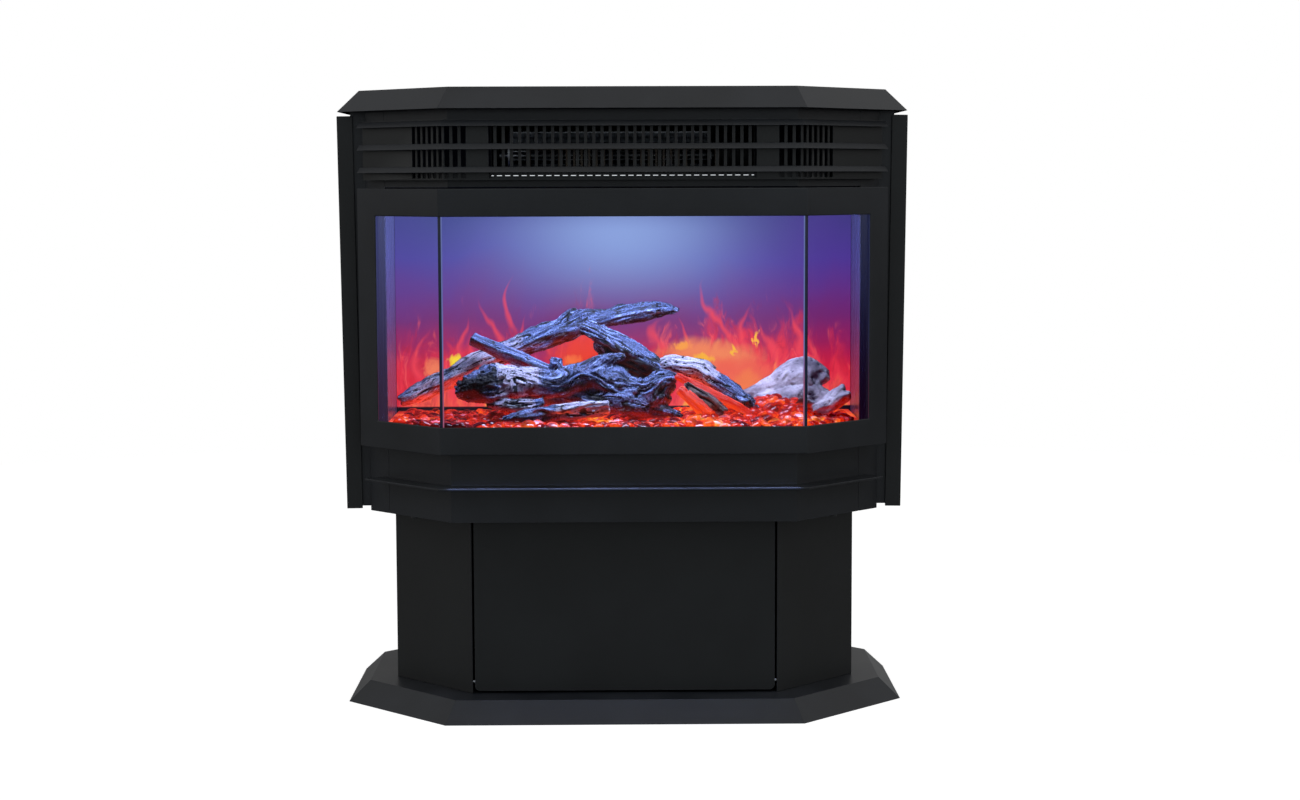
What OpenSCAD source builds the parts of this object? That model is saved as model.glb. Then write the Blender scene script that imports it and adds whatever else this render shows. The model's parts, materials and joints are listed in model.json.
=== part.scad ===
// Freestanding electric fireplace: a bay-fronted firebox on a pedestal and a plinth.
// +Z is up, the front faces -Y, and the origin is the middle of the footprint on the floor.
// Every depth below is counted backwards from the front plane of the window frame.

/* [Overall] */
// Depth from the window frame to the back edge of the hood
depth = 368; // [368:1:400]
// Thickness of the folded sheet steel
sheet = 1.5; // [1.2:0.1:1.8]
// Half width of the window frame's flat front
front_half = 208; // [200:1:212]
// Clearance on the radius of a pin or shaft in its bore
running_gap = 0.05; // [0.02:0.01:0.1]

/* [Plinth] */
// Height of the plinth
plinth_h = 24; // [20:1:25]
// Half width of the plinth on the floor
plinth_half = 331; // [325:1:335]
// Half width of the plinth's flat front
plinth_front_half = 206; // [200:1:212]
// How far the skirt slopes inwards over its height
plinth_slope = 25; // [20:1:28]

/* [Pedestal] */
// Depth at which the pedestal's front stands
pedestal_front = 58.5; // [56:0.5:60]
// Half width of the pedestal's flat front
pedestal_front_half = 179.3; // [178:0.1:181]
// Half width of the pedestal
pedestal_half = 275; // [270:1:280]
// Depth of the pedestal's back
pedestal_back = 320; // [310:1:330]

/* [Access door] */
// Height of the door's lower edge above the floor
door_z = 27; // [26.5:0.5:28]
// Height of the door
door_h = 201.5; // [200:0.5:201.5]
// Gap between the door and the pedestal on each side
door_gap = 2.5; // [2:0.1:3]
// Depth of the door's folded edge
door_flange = 12; // [10:1:12]
// Radius of the door's lower corners
door_corner = 6; // [4:1:8]
// Radius of the hinge pins
hinge_pin_r = 2; // [1.5:0.5:2]

/* [Body] */
// Height of the body's underside above the floor
body_z = 231; // [231:0.5:233]
// Height of the hood's eave above the floor
eave_z = 702; // [700:1:704]
// Half width of the body between the cheek panels
body_half = 301.5; // [300:0.5:302]
// How far the casing stands behind the window frame
casing_inset = 24; // [23:0.5:25]
// Depth of the body's back panel
body_back = 340; // [338:1:342]
// Half width of the apron and the header, up to their seams
seam_half = 277; // [275:1:279]

/* [Ledge] */
// Height of the ledge's underside above the floor
ledge_z = 271.2; // [265:0.1:275]
// Thickness of the ledge's hemmed edge
ledge_t = 2.5; // [2:0.1:3]
// Half width of the ledge's flat front
ledge_front_half = 211; // [208:1:214]

/* [Window] */
// Height of the window frame's lower edge above the floor
window_z = 312; // [310:0.5:314]
// Height of the window frame
window_h = 300.5; // [298:0.5:301]
// Height of the lower and upper rails
rail_h = 31.5; // [30:0.5:33]
// Width of the end stiles along the facet
stile_w = 32.5; // [30:0.5:35]
// Half width of the window frame over its tips
window_half = 309.7; // [306:0.1:311]
// Thickness of the window frame's sheet
frame_t = 2; // [1.5:0.5:2]
// Thickness of the glass
glass_t = 4; // [3:0.5:4]

/* [Louvres and grille] */
// Number of louvre blades
louver_count = 3; // [3:1:3]
// Height of the lowest blade's edge above the floor
louver_z = 630.5; // [630:0.5:632]
// Height from blade to blade
louver_pitch = 26; // [25:0.5:26]
// Half width of the blades over their tips
louver_half = 311; // [300:1:312]
// How far the grille stands behind the window frame
grille_inset = 14; // [13:0.5:15]
// Pitch of the grille's slots
slot_pitch = 9.25; // [9:0.05:9.3]
// Width of one slot
slot_w = 5.8; // [4:0.1:6]

/* [Hood] */
// Height of the hood
hood_h = 25; // [22:1:28]
// Half width of the hood
hood_half = 335; // [328:1:335]
// Half width of the hood's flat front
hood_front_half = 207; // [204:1:210]

/* [Cheek panels] */
// Width of the cheek's front face
cheek_w = 18.5; // [17:0.5:24]
// Half width over the cheeks at their foot
cheek_half = 330; // [329:0.5:331]
// Outward lean of the cheeks, in degrees
cheek_lean = 0.65; // [0:0.05:0.7]
// Height of the cheeks
cheek_h = 464; // [455:1:466]

/* [Hidden] */
$fn = 48;

powder = "#1d1f22";
powder_soft = "#24272c";
zinc = "#b9bcc0";
plastic = "#15161a";

eps = 0.01;
far = 400;                  // reach of a cutting shape beyond the body
half_turn_tan = tan(22.5);  // shortens the flat front as a bay steps inwards

hinge_y = pedestal_front + 6;
hinge_z = door_z + 10;
door_half = pedestal_front_half - sheet - door_gap;
door_inner_y = pedestal_front + door_flange;
window_top = window_z + window_h;
opening_z = window_z + rail_h;
opening_top = window_top - rail_h;
window_reach = 2 * window_half - front_half;
opening_reach = window_reach - stile_w * sqrt(2);
zone_back = 130;            // depth at which the parts on the bay front stop

header_gap_half = 262;      // half width of the header's opening behind the grille
flange_y = 132;             // out-turned flange between the casing and the cheek
flange_z = body_z + 5;

apron_top = window_z + 4;
header_z = window_top + 1.3;  // leaves a shadow line above the frame
floor_z = apron_top;
liner_top = 598.5;
liner_half = 279;
screen_y = 224.5;
bed_z = 340;
bed_top = 346;

grille_z = 622;
grille_top = 690;
slot_z = 624;
slot_top = 684;
grille_half = front_half - grille_inset * half_turn_tan;
center_slots = 33;
side_slots = 6;
corner_slots = 3;

panel_y = 95;               // front of the control panel behind the door
panel_z = 150;
control_z = 190;
rocker_y = 97;
rocker_tilt = 8;
rocker_x = [-60, 0];
knob_x = 60;
shaft_r = 3;

spindle_y = 268;
spindle_z = 352;
blower_y = 100;
blower_z = 650;

// Outline of a bay plan: a flat front, two 45 degree facets, two sides and a flat back,
// with its rear corners cut by cut; e moves every edge inwards.
function bay(front_y, half, side_x, back_y, cut = 0, e = 0) =
    let (facet = half - front_y - e * sqrt(2), f = front_y + e, s = side_x - e,
        b = back_y - e, rear = side_x + back_y - cut - e * sqrt(2),
        corners = cut > 0 ? [[s, rear - s], [rear - b, b]] : [[s, b]],
        right = concat([[facet + f, f], [s, s - facet]], corners))
    concat(right, [for (i = [len(right) - 1:-1:0]) [-right[i].x, right[i].y]]);

function plinth_plan(e) = bay(0, plinth_front_half, plinth_half, depth, 60, e);
function hood_plan(e) = bay(2, hood_front_half, hood_half, depth, 60, e);
function pedestal_plan(e) =
    bay(pedestal_front, pedestal_front_half, pedestal_half, pedestal_back, 0, e);
// Plan that steps back by o from the window frame's own bay
function front_plan(o, side_x = 320, back_y = 200) =
    bay(o, front_half - o * half_turn_tan, side_x, back_y);
function casing_plan(e) = bay(casing_inset,
    front_half - casing_inset * half_turn_tan, body_half, body_back, 0, e);

module from_front() translate([0, -depth / 2, 0]) children();
module both_sides() for (side = [0, 1]) mirror([side, 0, 0]) children();

// An upright sheet, drawn as its front view and extruded backwards from depth y
module upright(y, t) translate([0, y + t, 0]) rotate([90, 0, 0]) linear_extrude(t) children();

module slab(z, h, outline) translate([0, 0, z]) linear_extrude(h) polygon(outline);

// The ring between two outlines
module ring(z, h, outer, inner) translate([0, 0, z]) linear_extrude(h) difference() {
    polygon(outer);
    polygon(inner);
}

// The front strip of a bay, ended square to the facets where |X| + depth = reach
module front_zone(reach) translate([0, 0, -1]) linear_extrude(eave_z + 100) polygon([
    [-reach - 100, -100], [reach + 100, -100],
    [reach - zone_back, zone_back], [zone_back - reach, zone_back]]);

// A prism whose sides all lean inwards by k for each unit of height
module leaning_prism(outline, h, k) difference() {
    linear_extrude(h) polygon(outline);
    for (i = [0:len(outline) - 1])
        let (a = outline[i], b = outline[(i + 1) % len(outline)],
            turn = atan2(b.y - a.y, b.x - a.x))
            translate([a.x, a.y, 0]) rotate([0, 0, turn]) rotate([-atan(k), 0, 0])
                translate([-far, -far, -far / 2]) cube([3 * far, far, 2 * far]);
}

// A folded steel shell with sloping sides and a flat top, open below
module sloped_shell(h, slope, outer, inner) {
    k = slope / h;
    difference() {
        leaning_prism(outer, h, k);
        translate([0, 0, -1]) leaning_prism(inner, h - sheet + 1, k);
    }
}

module plinth() color(powder_soft) from_front() {
    wall = sheet * sqrt(2);
    k = plinth_slope / plinth_h;
    sloped_shell(plinth_h, plinth_slope, plinth_plan(0), plinth_plan(wall - k));
    ring(0, sheet, plinth_plan(k * sheet + eps), plinth_plan(20));
}

module pedestal_side() difference() {
    union() {
        translate([0, 0, plinth_h]) linear_extrude(body_z - plinth_h) {
            intersection() {
                difference() {
                    polygon(pedestal_plan(0));
                    polygon(pedestal_plan(sheet));
                }
                translate([pedestal_front_half - sheet, 0])
                    square([far, pedestal_back - sheet]);
            }
            translate([pedestal_front_half - sheet, pedestal_front]) square([sheet, 20]);
            translate([pedestal_half - 15, pedestal_back - 2 * sheet])
                square([15 - sheet / 2, sheet]);
        }
        translate([0, 0, plinth_h]) linear_extrude(sheet) intersection() {
            difference() {
                polygon(pedestal_plan(sheet / 2));
                polygon(pedestal_plan(18));
            }
            translate([pedestal_front_half, 0]) square([far, pedestal_back - 2 * sheet]);
        }
    }
    translate([0, hinge_y, hinge_z]) rotate([0, 90, 0])
        cylinder(h = pedestal_front_half + 1, r = hinge_pin_r + running_gap);
}

module pedestal_right_panel() color(powder) from_front() pedestal_side();
module pedestal_left_panel() color(powder) from_front() mirror([1, 0, 0]) pedestal_side();

module pedestal_back_panel() color(powder) from_front()
    translate([sheet - pedestal_half, pedestal_back - sheet, plinth_h])
        cube([2 * (pedestal_half - sheet), sheet, body_z - plinth_h]);

module pedestal_top_plate() color(powder) from_front() intersection() {
    slab(body_z - sheet, sheet, pedestal_plan(sheet));
    translate([-far, pedestal_front + 20, 0])
        cube([2 * far, pedestal_back - pedestal_front - 20 - 2 * sheet, body_z]);
}

// Front view of the door, e inside its edge, with round lower corners
module door_view(e) {
    r = door_corner - e;
    w = door_half - e;
    top = door_z + door_h - e;
    translate([-w, door_z + door_corner]) square([2 * w, top - door_z - door_corner]);
    translate([r - w, door_z + e]) square([2 * (w - r), door_corner]);
    for (side = [-1, 1]) translate([side * (w - r), door_z + door_corner]) circle(r);
}

module access_door() color(powder) from_front() difference() {
    union() {
        upright(pedestal_front, sheet) door_view(0);
        upright(pedestal_front, door_flange) difference() {
            door_view(0);
            door_view(sheet);
        }
    }
    translate([-far, hinge_y, hinge_z]) rotate([0, 90, 0])
        cylinder(h = 2 * far, r = hinge_pin_r + running_gap);
}

module door_hinge_pins() color(zinc) from_front() both_sides()
    translate([door_half - 4, hinge_y, hinge_z]) rotate([0, 90, 0])
        cylinder(h = door_gap + sheet + 5, r = hinge_pin_r);

module door_magnets() color(plastic) from_front() both_sides()
    translate([55, door_inner_y + 0.5, body_z - sheet - 14]) cube([30, 15, 14]);

// A rocker switch's housing opening, seen from the front
module switch_hole(w, h) translate([-w / 2, control_z - h / 2]) square([w, h]);

module control_panel() color(powder_soft) from_front() {
    top = body_z - sheet;
    upright(panel_y, sheet) difference() {
        translate([-100, panel_z]) square([200, top - panel_z]);
        for (x = rocker_x) translate([x, 0]) switch_hole(16, 26);
        translate([knob_x, control_z]) circle(4);
    }
    both_sides() translate([100 - sheet, panel_y, panel_z])
        cube([sheet, 60, top - panel_z]);
}

module switch_bodies() color(plastic) from_front() {
    for (x = rocker_x) difference() {
        union() {
            upright(panel_y - 2, 2) translate([x, 0]) switch_hole(20, 30);
            upright(panel_y - 1, 16) translate([x, 0]) switch_hole(16, 26);
        }
        upright(panel_y - 3, 13) translate([x, 0]) switch_hole(11.2, 20.4);
        translate([x - 9, rocker_y, control_z]) rotate([0, 90, 0])
            cylinder(h = 18, r = 1.2 + running_gap);
    }
    difference() {
        union() {
            upright(panel_y + sheet, 12) translate([knob_x, control_z]) circle(9);
            upright(panel_y, 5) translate([knob_x, control_z]) circle(4);
        }
        upright(panel_y - 1, 9) translate([knob_x, control_z])
            circle(shaft_r + running_gap);
    }
}

// A rocker in its off position: two faces at a shallow angle, on a pin
module rocker(x) from_front() translate([x, rocker_y, control_z]) rotate([-rocker_tilt, 0, 0]) {
    translate([-5, 0, 0]) rotate([90, 0, 90]) linear_extrude(10) polygon([
        [-4, -9], [-2.8, 0], [-4, 9], [2.5, 9], [2.5, -9]]);
    translate([-7.5, 0, 0]) rotate([0, 90, 0]) cylinder(h = 15, r = 1.2);
}

module power_rocker() color(plastic) rocker(rocker_x[0]);
module heat_rocker() color(plastic) rocker(rocker_x[1]);

module brightness_knob() color(plastic) from_front() {
    upright(panel_y - 15, 13) translate([knob_x, control_z]) difference() {
        circle(10);
        for (i = [0:11]) rotate(i * 30) translate([10.4, 0]) circle(1.2);
        translate([-0.6, 5]) square([1.2, 6]);
    }
    upright(panel_y - 4, 11) translate([knob_x, control_z]) circle(shaft_r);
}

// Apron screw holes, or with r below the hole's radius the screws in them
module apron_screw_shafts(z, h, r) both_sides() translate([245, 77, z]) cylinder(h = h, r = r);
module rear_screw_shafts(y, h, r) both_sides() for (z = [250:110:690])
    translate([body_half - 8, y, z]) rotate([-90, 0, 0]) cylinder(h = h, r = r);

module body_base_pan() color(powder) from_front() difference() {
    union() {
        slab(body_z, sheet, casing_plan(16.5));
        ring(body_z + sheet, sheet, casing_plan(2 * sheet), casing_plan(20));
    }
    apron_screw_shafts(body_z - 1, 10, 2);
}

// A sheet that follows the casing's front between its seams
module casing_front(z0, z1) {
    translate([0, 0, z0]) linear_extrude(z1 - z0) intersection() {
        difference() {
            polygon(casing_plan(0));
            polygon(casing_plan(sheet));
        }
        translate([-seam_half, 0]) square([2 * seam_half, zone_back]);
    }
}

module lower_apron() color(powder_soft) from_front() difference() {
    union() {
        casing_front(body_z, apron_top);
        translate([0, 0, body_z]) linear_extrude(sheet) intersection() {
            difference() {
                polygon(casing_plan(sheet / 2));
                polygon(casing_plan(15));
            }
            translate([-seam_half, 0]) square([2 * seam_half, zone_back]);
        }
    }
    apron_screw_shafts(body_z - 1, 10, 2);
}

module ledge_shelf() color(powder_soft) from_front() intersection() {
    ring(ledge_z, ledge_t, bay(0, ledge_front_half, 320, 200), casing_plan(0));
    front_zone(399);
}

module side_casing() difference() {
    union() {
        translate([0, 0, body_z]) linear_extrude(eave_z - body_z) {
            intersection() {
                difference() {
                    polygon(casing_plan(0));
                    polygon(casing_plan(sheet));
                }
                translate([seam_half, 0]) square([far, body_back - sheet]);
            }
            translate([body_half - 15, body_back - 2 * sheet])
                square([15 - sheet / 2, sheet]);
        }
        // A flange turned out to close the gap to the cheek panel
        translate([body_half - sheet / 2, flange_y, flange_z])
            cube([19, sheet, eave_z - flange_z]);
        // A lap behind the seams of the apron and the header
        for (span = [[body_z + sheet, apron_top], [header_z, eave_z]])
            translate([0, 0, span[0]]) linear_extrude(span[1] - span[0]) intersection() {
                difference() {
                    polygon(casing_plan(sheet));
                    polygon(casing_plan(2 * sheet));
                }
                translate([seam_half - 15, 0]) square([25, zone_back]);
            }
        translate([0, 0, body_z]) linear_extrude(sheet) intersection() {
            difference() {
                polygon(casing_plan(sheet / 2));
                polygon(casing_plan(15));
            }
            translate([seam_half + eps, zone_back]) square([far, body_back - zone_back - 4]);
        }
    }
    rear_screw_shafts(body_back - 5, 10, 2);
}

module side_casing_right() color(powder_soft) from_front() side_casing();
module side_casing_left() color(powder_soft) from_front() mirror([1, 0, 0]) side_casing();

module rear_panel() color(powder) from_front() {
    w = body_half - sheet;
    difference() {
        upright(body_back - sheet, sheet) difference() {
            translate([-w, body_z]) square([2 * w, eave_z - body_z]);
            // Air inlets for the blower, and a row low down
            for (z = [420, 470, 520], i = [-10:10])
                translate([i * 12 - 2.5, z]) square([5, 34]);
            for (i = [-14:14]) translate([i * 12 - 2.5, 330]) square([5, 34]);
            translate([-220, 262]) circle(8);
        }
        rear_screw_shafts(body_back - 5, 10, 2);
    }
}

module header_panel() color(powder_soft) from_front() difference() {
    casing_front(header_z, eave_z);
    // One wide opening behind all the grille's slots
    translate([-header_gap_half, 0, slot_z + 6])
        cube([2 * header_gap_half, 95, slot_top - slot_z - 6]);
}

// The grille's slots: count openings at the pitch, the first one's middle at start
module slots(start, count) for (i = [0:count - 1])
    translate([start + i * slot_pitch - slot_w / 2, slot_z])
        square([slot_w, slot_top - slot_z]);

module grille_panel() color(powder) from_front() {
    height = grille_top - grille_z;
    upright(grille_inset, sheet) difference() {
        translate([-grille_half, grille_z]) square([2 * grille_half, height]);
        slots(-(center_slots - 1) / 2 * slot_pitch, center_slots);
        for (side = [0, 1]) mirror([side, 0])
            slots(grille_half - (corner_slots - 0.5) * slot_pitch, corner_slots);
    }
    facet_w = (303.8 - grille_half) * sqrt(2);
    both_sides() translate([grille_half, grille_inset, 0]) rotate([0, 0, 45])
        upright(0, sheet) difference() {
            translate([-sheet / 4, grille_z]) square([facet_w, height]);
            slots(slot_pitch / 2, side_slots);
        }
    for (z = [grille_z, grille_top - sheet]) intersection() {
        ring(z, sheet, front_plan(grille_inset + sheet / 2), casing_plan(0));
        front_zone(2 * 303.8 - front_half + grille_inset * sqrt(2));
    }
}

// One blade: a strip that slopes up and backwards, and follows the bay
module louver(index) color(powder_soft) from_front() {
    drop = 6.5;
    lean = (grille_inset - 7 - 2) / drop;
    wall = sheet * sqrt(1 + lean * lean);
    intersection() {
        translate([0, 0, louver_z + index * louver_pitch]) difference() {
            leaning_prism(front_plan(7), drop, lean);
            translate([0, 0, -1]) leaning_prism(front_plan(7 + wall - lean), drop + 2, lean);
        }
        front_zone(2 * louver_half - front_half + 7 * sqrt(2));
    }
}

module louver_lower() louver(0);
module louver_middle() louver(1);
module louver_upper() louver(2);

module hood() color(powder_soft) from_front() translate([0, 0, eave_z]) {
    wall = sheet * sqrt(2);
    sloped_shell(hood_h, hood_h, hood_plan(0), hood_plan(wall - 1));
    ring(0, sheet, hood_plan(sheet + eps), hood_plan(32));
}

module window_frame() color(powder_soft) from_front() difference() {
    intersection() {
        union() {
            ring(window_z, window_h, front_plan(0), front_plan(frame_t));
            for (z = [window_z, window_top - frame_t])
                ring(z, frame_t, front_plan(frame_t / 2), casing_plan(0));
            difference() {
                ring(window_z, window_h, front_plan(frame_t / 2), casing_plan(0));
                front_zone(window_reach - frame_t * sqrt(2));
            }
        }
        front_zone(window_reach);
    }
    intersection() {
        translate([-far, -1, opening_z]) cube([2 * far, zone_back, opening_top - opening_z]);
        front_zone(opening_reach);
        ring(opening_z, window_h, front_plan(-5), front_plan(frame_t + eps));
    }
}

glass_y = frame_t + 1;
glass_z = window_z + 18;
glass_h = window_h - 36;
pane_half = front_half - (glass_y + glass_t) * half_turn_tan - 0.3;
facet_start = front_half + glass_y * sqrt(2) + 0.6;  // X + depth where a side pane starts

module glass_facets() intersection() {
    ring(glass_z, glass_h, front_plan(glass_y), front_plan(glass_y + glass_t));
    front_zone(opening_reach + 8 * sqrt(2));
}

module glass_center() color("#6f8fb5", 0.25) from_front()
    translate([-pane_half, glass_y, glass_z]) cube([2 * pane_half, glass_t, glass_h]);

module glass_side() difference() {
    glass_facets();
    front_zone(facet_start);
    translate([-2 * far, -1, 0]) cube([2 * far, far, eave_z]);
}

module glass_right() color("#6f8fb5", 0.25) from_front() glass_side();
module glass_left() color("#6f8fb5", 0.25) from_front() mirror([1, 0, 0]) glass_side();

module glass_joint_seals() color("#101828") from_front() difference() {
    intersection() {
        glass_facets();
        front_zone(facet_start);
    }
    translate([-pane_half, -1, 0]) cube([2 * pane_half, far, eave_z]);
}

// A cheek panel, leaning outwards about its foot
module cheek_lean_at() translate([cheek_half, 0, 233]) rotate([0, cheek_lean, 0]) children();

module cheek_panel() cheek_lean_at() linear_extrude(cheek_h) {
    translate([-cheek_w, 129]) square([cheek_w, sheet]);
    translate([-sheet, 129]) square([sheet, 201]);
    translate([-15, 330 - sheet]) square([15, sheet]);
}

module cheek_panel_right() color(powder) from_front() cheek_panel();
module cheek_panel_left() color(powder) from_front() mirror([1, 0, 0]) cheek_panel();

// Square tube spacers between the body and the cheek panels
module cheek_standoffs() color(powder) from_front() both_sides() difference() {
    for (y = [160, 290], z = [300, 640]) translate([body_half, y, z]) difference() {
        cube([40, 20, 20]);
        translate([-1, 2, 2]) cube([42, 16, 16]);
    }
    cheek_lean_at() translate([-sheet, 0, 0]) cube([far, far, 500]);
}

module firebox_floor() color(zinc) from_front()
    slab(floor_z, sheet, front_plan(casing_inset + 2 * sheet, 290, body_back - 4));

// A side wall of the firebox, and the strip that lines the casing's facet in front of it
module firebox_liner() {
    height = liner_top - floor_z - sheet;
    translate([liner_half, 111, floor_z + sheet]) cube([sheet, screen_y - 111.5, height]);
    intersection() {
        ring(floor_z + sheet, height, front_plan(casing_inset - 2),
            front_plan(casing_inset - 0.5));
        translate([seam_half, 0, floor_z]) cube([13.5, zone_back, height + 2 * sheet]);
    }
}

module firebox_liner_right() color("#3a3f48") from_front() firebox_liner();
module firebox_liner_left() color("#3a3f48") from_front() mirror([1, 0, 0]) firebox_liner();

module firebox_roof() color("#3a3f48") from_front() {
    slab(liner_top, sheet, front_plan(12, seam_half - 0.5, screen_y + 4));
    slab(liner_top, sheet, front_plan(casing_inset + 2 * sheet, 290, screen_y + 4));
}

module flame_screen() color("#6a3fa0") from_front()
    translate([0.2 - liner_half, screen_y, floor_z + sheet])
        cube([2 * (liner_half - 0.2), 3, liner_top - floor_z - sheet]);

module ember_tray() color("#c9ccd2") from_front() {
    plan = front_plan(8.5, seam_half - 0.5, screen_y - 1.5);
    slab(bed_z - 4, 4, plan);
    skirt = front_plan(casing_inset + 4, seam_half - 0.5, screen_y - 1.5);
    inner = front_plan(casing_inset + 6, seam_half - 2.5, screen_y - 3.5);
    ring(floor_z + sheet, bed_z - 4 - floor_z - sheet, skirt, inner);
}

module ember_glass_bed() color("#c03020") from_front()
    slab(bed_z, bed_top - bed_z, front_plan(9, seam_half - 1, screen_y - 2));

module spindle_vanes() for (i = [-5:5], blade = [0:2])
    translate([i * 42 - 13, 0, 0]) rotate([i * 37 + blade * 120, 0, 0])
        translate([0, -0.4, 1]) cube([26, 0.8, 20]);

module flicker_spindle() color(zinc) from_front() translate([0, spindle_y, spindle_z]) {
    translate([-240, 0, 0]) rotate([0, 90, 0]) cylinder(h = 502, r = shaft_r);
    spindle_vanes();
}

module flicker_motor() color(zinc) from_front() difference() {
    union() {
        translate([-262, spindle_y, spindle_z]) rotate([0, 90, 0]) cylinder(h = 30, r = 18);
        translate([-234, spindle_y - 22, floor_z + sheet]) cube([2, 44, 60]);
    }
    translate([-242, spindle_y, spindle_z]) rotate([0, 90, 0])
        cylinder(h = 20, r = shaft_r + running_gap);
}

module spindle_bushing() color(plastic) from_front() difference() {
    translate([255, spindle_y - 10, floor_z + sheet])
        cube([6, 20, spindle_z + 10 - floor_z - sheet]);
    translate([250, spindle_y, spindle_z]) rotate([0, 90, 0])
        cylinder(h = 20, r = shaft_r + running_gap);
}

module led_boards() color("#e8e8e0") from_front() {
    translate([-190, 16, liner_top - 2]) cube([380, 12, 2]);
    translate([-200, 70, floor_z + sheet]) cube([400, 110, 2]);
    translate([-225, 296, floor_z + sheet]) cube([450, 14, 2]);
}

module heater_housing() color(zinc) from_front() difference() {
    union() {
        difference() {
            translate([-150, 40, 612]) cube([300, 110, 78]);
            translate([-149, 39, 613]) cube([298, 110, 80]);
        }
        translate([-149.5, blower_y, blower_z]) rotate([0, 90, 0]) cylinder(h = 6, r = 7);
    }
    translate([-148, blower_y, blower_z]) rotate([0, 90, 0])
        cylinder(h = 10, r = shaft_r + running_gap);
}

module heating_element() color("#c8c8c8") from_front() difference() {
    translate([-110, 46, 613]) cube([220, 14, 50]);
    for (i = [-12:12]) translate([i * 8.5 - 3, 45, 620]) cube([6, 16, 36]);
}

module blower_wheel() color(zinc) from_front() translate([0, blower_y, blower_z]) {
    rotate([0, 90, 0]) translate([0, 0, -147]) cylinder(h = 267, r = shaft_r);
    for (x = [-132, -16, 100]) translate([x, 0, 0]) rotate([0, 90, 0]) cylinder(h = 2, r = 28);
    for (i = [0:17]) rotate([i * 20, 0, 0]) translate([-131, -0.5, 20]) cube([232, 1, 7.5]);
}

module blower_motor() color(zinc) from_front() difference() {
    union() {
        translate([107, blower_y, blower_z]) rotate([0, 90, 0]) cylinder(h = 38, r = 23);
        translate([115, blower_y - 20, 613]) cube([20, 40, 16]);
    }
    translate([106, blower_y, blower_z]) rotate([0, 90, 0])
        cylinder(h = 20, r = shaft_r + running_gap);
}

module control_board_box() color(plastic) from_front() {
    translate([-180, 180, body_z + sheet]) cube([120, 100, 30]);
    translate([-183, 177, body_z + sheet + 30]) cube([126, 106, 4]);
}

module cord_inlet() color(plastic) from_front() difference() {
    union() {
        upright(body_back - 8, 20) translate([-220, 262]) circle(8);
        upright(body_back, 3) translate([-220, 262]) circle(13);
    }
    upright(body_back - 9, 22) translate([-220, 262]) circle(3.5);
}

// Pan-head screws of one size: ten in the back and two under the apron
module casing_screws() color(zinc) from_front() {
    rear_screw_shafts(body_back - 4, 4, 1.9);
    rear_screw_shafts(body_back, 2.4, 4);
    apron_screw_shafts(body_z, 5, 1.9);
    apron_screw_shafts(body_z - 1.9, 1.9, 4);
}

// A straight log: a tapering rod between two stations, each [x, depth, z, radius]
module rod(a, b) {
    v = [b.x - a.x, b.y - a.y, b.z - a.z];
    translate([a.x, a.y, a.z]) rotate([0, acos(v.z / norm(v)), atan2(v.y, v.x)])
        cylinder(h = norm(v), r1 = a[3], r2 = b[3]);
}

// A bent log: each stretch is wrapped round the knots at its ends
module limb(stations) for (i = [0:len(stations) - 2]) hull()
    for (end = [stations[i], stations[i + 1]])
        translate([end.x, end.y, end.z]) sphere(end[3], $fn = 18);

module log_back() color("#6f7f99") from_front() limb([
    [-262, 128, 364, 10], [-163, 140, 411, 12], [-93, 150, 437, 13],
    [-28, 152, 456, 13], [61, 155, 466, 9]]);

module log_left_stick() color("#6f7f99") from_front()
    rod([-176, 112, 436, 7], [-90, 104, 398, 7]);

module log_right_diagonal() color("#6f7f99") from_front()
    rod([-44, 122, 448, 11], [46, 112, 397, 11]);

module driftwood_center() color("#6f7f99") from_front() {
    limb([[-192, 80, 378, 9], [-130, 82, 380, 14], [-60, 84, 382, 17],
        [20, 84, 373, 19], [58, 80, 373, 14]]);
    limb([[-48, 86, 390, 9], [-14, 92, 406, 8]]);
}

module log_front_stick() color("#8f99a8") from_front()
    rod([-138, 42, 354, 6.5], [-20, 42, 361, 6.5]);

module log_right_front() color("#a5adba") from_front()
    limb([[43, 88, 405, 11], [95, 86, 392, 12], [160, 78, 360, 11]]);

module log_under_right() color("#9a4a30") from_front()
    rod([80, 64, 380, 7], [148, 50, 355, 7]);

module driftwood_right() color("#9a94a8") from_front()
    limb([[142, 118, 363, 14], [182, 120, 375, 20], [224, 124, 388, 20]]);

module stone_right() color("#9a94a8") from_front()
    rod([236, 96, 358, 11], [256, 98, 368, 12]);

plinth();
pedestal_left_panel();
pedestal_right_panel();
pedestal_back_panel();
pedestal_top_plate();
access_door();
door_hinge_pins();
door_magnets();
control_panel();
switch_bodies();
power_rocker();
heat_rocker();
brightness_knob();
body_base_pan();
lower_apron();
ledge_shelf();
side_casing_left();
side_casing_right();
rear_panel();
header_panel();
grille_panel();
louver_lower();
louver_middle();
louver_upper();
hood();
window_frame();
glass_center();
glass_left();
glass_right();
glass_joint_seals();
cheek_panel_left();
cheek_panel_right();
cheek_standoffs();
firebox_floor();
firebox_liner_left();
firebox_liner_right();
firebox_roof();
flame_screen();
ember_tray();
ember_glass_bed();
flicker_spindle();
flicker_motor();
spindle_bushing();
led_boards();
heater_housing();
heating_element();
blower_wheel();
blower_motor();
control_board_box();
cord_inlet();
casing_screws();
log_back();
log_left_stick();
log_right_diagonal();
driftwood_center();
log_front_stick();
log_right_front();
log_under_right();
driftwood_right();
stone_right();
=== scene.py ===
import json
import math
import random

import bpy
import numpy as np
from mathutils import Matrix, Vector, noise


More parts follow.
